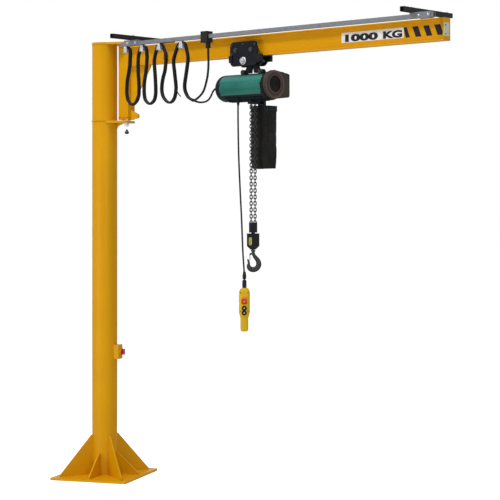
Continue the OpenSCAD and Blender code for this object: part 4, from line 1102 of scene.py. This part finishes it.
def rounded(value):
    """A cosine or sine made squarer, for the case's corners."""
    return math.copysign(abs(value)**(2/CASE_CORNERS), value)


def on_front(y, z, out=0.0):
    """A frame on the pendant's front, Z outward and Y up."""
    return PENDANT @ Matrix.Translation(((FRONT + out)*MM, y*MM, z*MM)) @ TO_TIP


case = Bench()
rings = [case.verts(PENDANT @ Vector((deep/2*rounded(x)*MM, wide/2*rounded(y)*MM, z*MM))
                    for x, y in circle(1, CASE_SIDES)) for z, wide, deep in CASE]
for a, b in zip(rings, rings[1:]):
    case.skin(a, b)
case.caps(rings[0], rings[-1])
case_piece = case.piece("pendant_case", PENDANT_YELLOW, "trolley", "pendant_plastic", 50)
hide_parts("pendant_body")
red, glow, travel, seats, dots, split = (Bench() for _ in range(6))
red.prism(on_front(0, 241, -2), rounded_outline(0.044, 0.040, 0.006), 0.009, 0.002)
red_piece = red.piece("stop_button", BUTTON_RED, "trolley", BUTTON_GRIP, 40)
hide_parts("pendant_buttons")
glow.prism(on_front(0, 272, -2), rounded_outline(0.044, 0.017, 0.004), 0.0045, 0.001)
glow.prism(on_front(0, 241, 7), rounded_outline(0.016, 0.014, 0.004), 0.0008, 0.0002)
glow.piece("stop_mark", BUTTON_MARK, "trolley", BUTTON_GRIP, 40)
for z in (188, 150):
    seats.lathe(on_front(0, z, -1), [(0, 0), (0.0205, 0), (0.0205, 0.002), (0.0195, 0.0035), (0.0165, 0.0035),
                                     (0.016, 0.001), (0, 0.001)])
    travel.lathe(on_front(0, z, -1), [(0, 0), (0.0155, 0), (0.0155, 0.008), (0.0145, 0.0095), (0.010, 0.0105),
                                      (0, 0.0105)])
    dots.lathe(on_front(0, z + 1, 9.4), [(0, 0), (0.0046, 0), (0.0044, 0.0006), (0, 0.0008)], 28)
travel.piece("travel_buttons", BLACK_PLASTIC, "trolley", BUTTON_GRIP, 40)
seats.piece("button_seats", BLACK_PLASTIC, "trolley", BUTTON_GRIP, 40)
dots.piece("button_dots", MARK_WHITE, "trolley", BUTTON_GRIP, 40)
for z0, z1, wide in ((18, 96, 62), (150, 318, 86.5)):
    for side in (-1, 1):
        outward = PENDANT.to_3x3() @ Vector((0, side, 0))
        split.sweep([PENDANT @ Vector((0, side*(wide/2)*MM, z*MM)) for z in (z0, (z0 + z1)/2, z1)],
                    strip(0.0008, -0.0006, 0.0006), Vector((0, 0, 1)).cross(outward))
split.piece("case_seam", BLACK_PLASTIC, "trolley", "pendant_plastic", 30)
bolts("case_screws", [PENDANT @ Vector((FRONT*MM*0.99, y*MM, z*MM)) for z in (312, 165) for y in (-30, 30)],
      PENDANT.to_3x3() @ Vector((1, 0, 0)), 7, 1.6, "trolley", BOLT_DARK, 1.2, 23)
collar, upper = Bench(), Bench()
collar.lathe(PENDANT @ Matrix.Translation((0, 0, GLAND_TOP*MM)), [
    (0, -0.004), (0.0175, -0.004), (0.0175, 0.012), (0.0165, 0.014), (0.0175, 0.016), (0.0175, 0.030),
    (0.0165, 0.032), (0.0175, 0.034), (0.0175, 0.050), (0.016, 0.058), (0.0135, 0.064), (0, 0.064)], 32)
collar_piece = collar.piece("pendant_collar", COLLAR_BLUE, "trolley", "black_plastic", 40)
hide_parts("pendant_gland")
upper.lathe(PENDANT @ Matrix.Translation((0, 0, (GLAND_TOP + 70)*MM)), [
    (0, 0), (0.013, 0), (0.0155, 0.003), (0.0155, 0.026), (0.0145, 0.034), (0.0105, 0.060), (0, 0.0602)], 32)
upper.piece("pendant_sleeve", RUBBER, "trolley", "black_plastic", 40)

# ---------------------------------------------------------------- lights, floor and world
scene = bpy.context.scene
scene.view_settings.view_transform = "Standard"
world = bpy.data.worlds.new("studio")
scene.world = world
world.use_nodes = True
tree = world.node_tree
seen = add(tree, "LightPath")
shown = calc(tree, "MAXIMUM", seen.outputs["Is Camera Ray"], seen.outputs["Is Glossy Ray"])
shown = calc(tree, "MAXIMUM", shown, seen.outputs["Is Transmission Ray"])
sky = tree.nodes["Background"]
sky.inputs["Color"].default_value = (1, 1, 1, 1)
SKY_LIGHT = 0.34
tree.links.new(between(tree, shown, 0.0, 1.0, SKY_LIGHT, 1.0), sky.inputs["Strength"])

floor_bench = Bench()
floor_bench.work.faces.new(floor_bench.verts([(-40, -40, 0), (40, -40, 0), (40, 60, 0), (-40, 60, 0)]))
floor_mesh = floor_bench.mesh("floor")
floor = bpy.data.objects.new("floor", floor_mesh)
scene.collection.objects.link(floor)
floor_mat, tree, surface = blank("floor", Roughness=0.85)
surface.inputs["Base Color"].default_value = (0.86, 0.86, 0.86, 1)
surface.inputs["Specular IOR Level"].default_value = 0.1
surface.inputs["Emission Color"].default_value = (1, 1, 1, 1)
seen = add(tree, "LightPath")
tree.links.new(calc(tree, "MULTIPLY", seen.outputs["Is Camera Ray"], 0.75), surface.inputs["Emission Strength"])
floor_mesh.materials.append(floor_mat)


def lamp(name, place, aim, size, power):
    """A round soft lamp at place, turned towards aim."""
    data = bpy.data.lights.new(name, "AREA")
    data.shape = "DISK"
    data.size = size
    data.energy = power
    thing = bpy.data.objects.new(name, data)
    thing.location = place
    thing.rotation_euler = (Vector(aim) - Vector(place)).to_track_quat("-Z", "Y").to_euler()
    scene.collection.objects.link(thing)


lamp("key", (0.4, -4.6, 11.4), (0.7, 0, 2.2), 1.8, 470)
lamp("fill", (9.5, -4.5, 3.4), (1.2, 0, 2.2), 4.0, 170)
lamp("low", (-1.5, -9.0, 1.0), (0.0, 0, 0.9), 4.0, 230)
lamp("top", (1.5, -0.8, 9.0), (1.5, 0, 2.0), 4.5, 170)
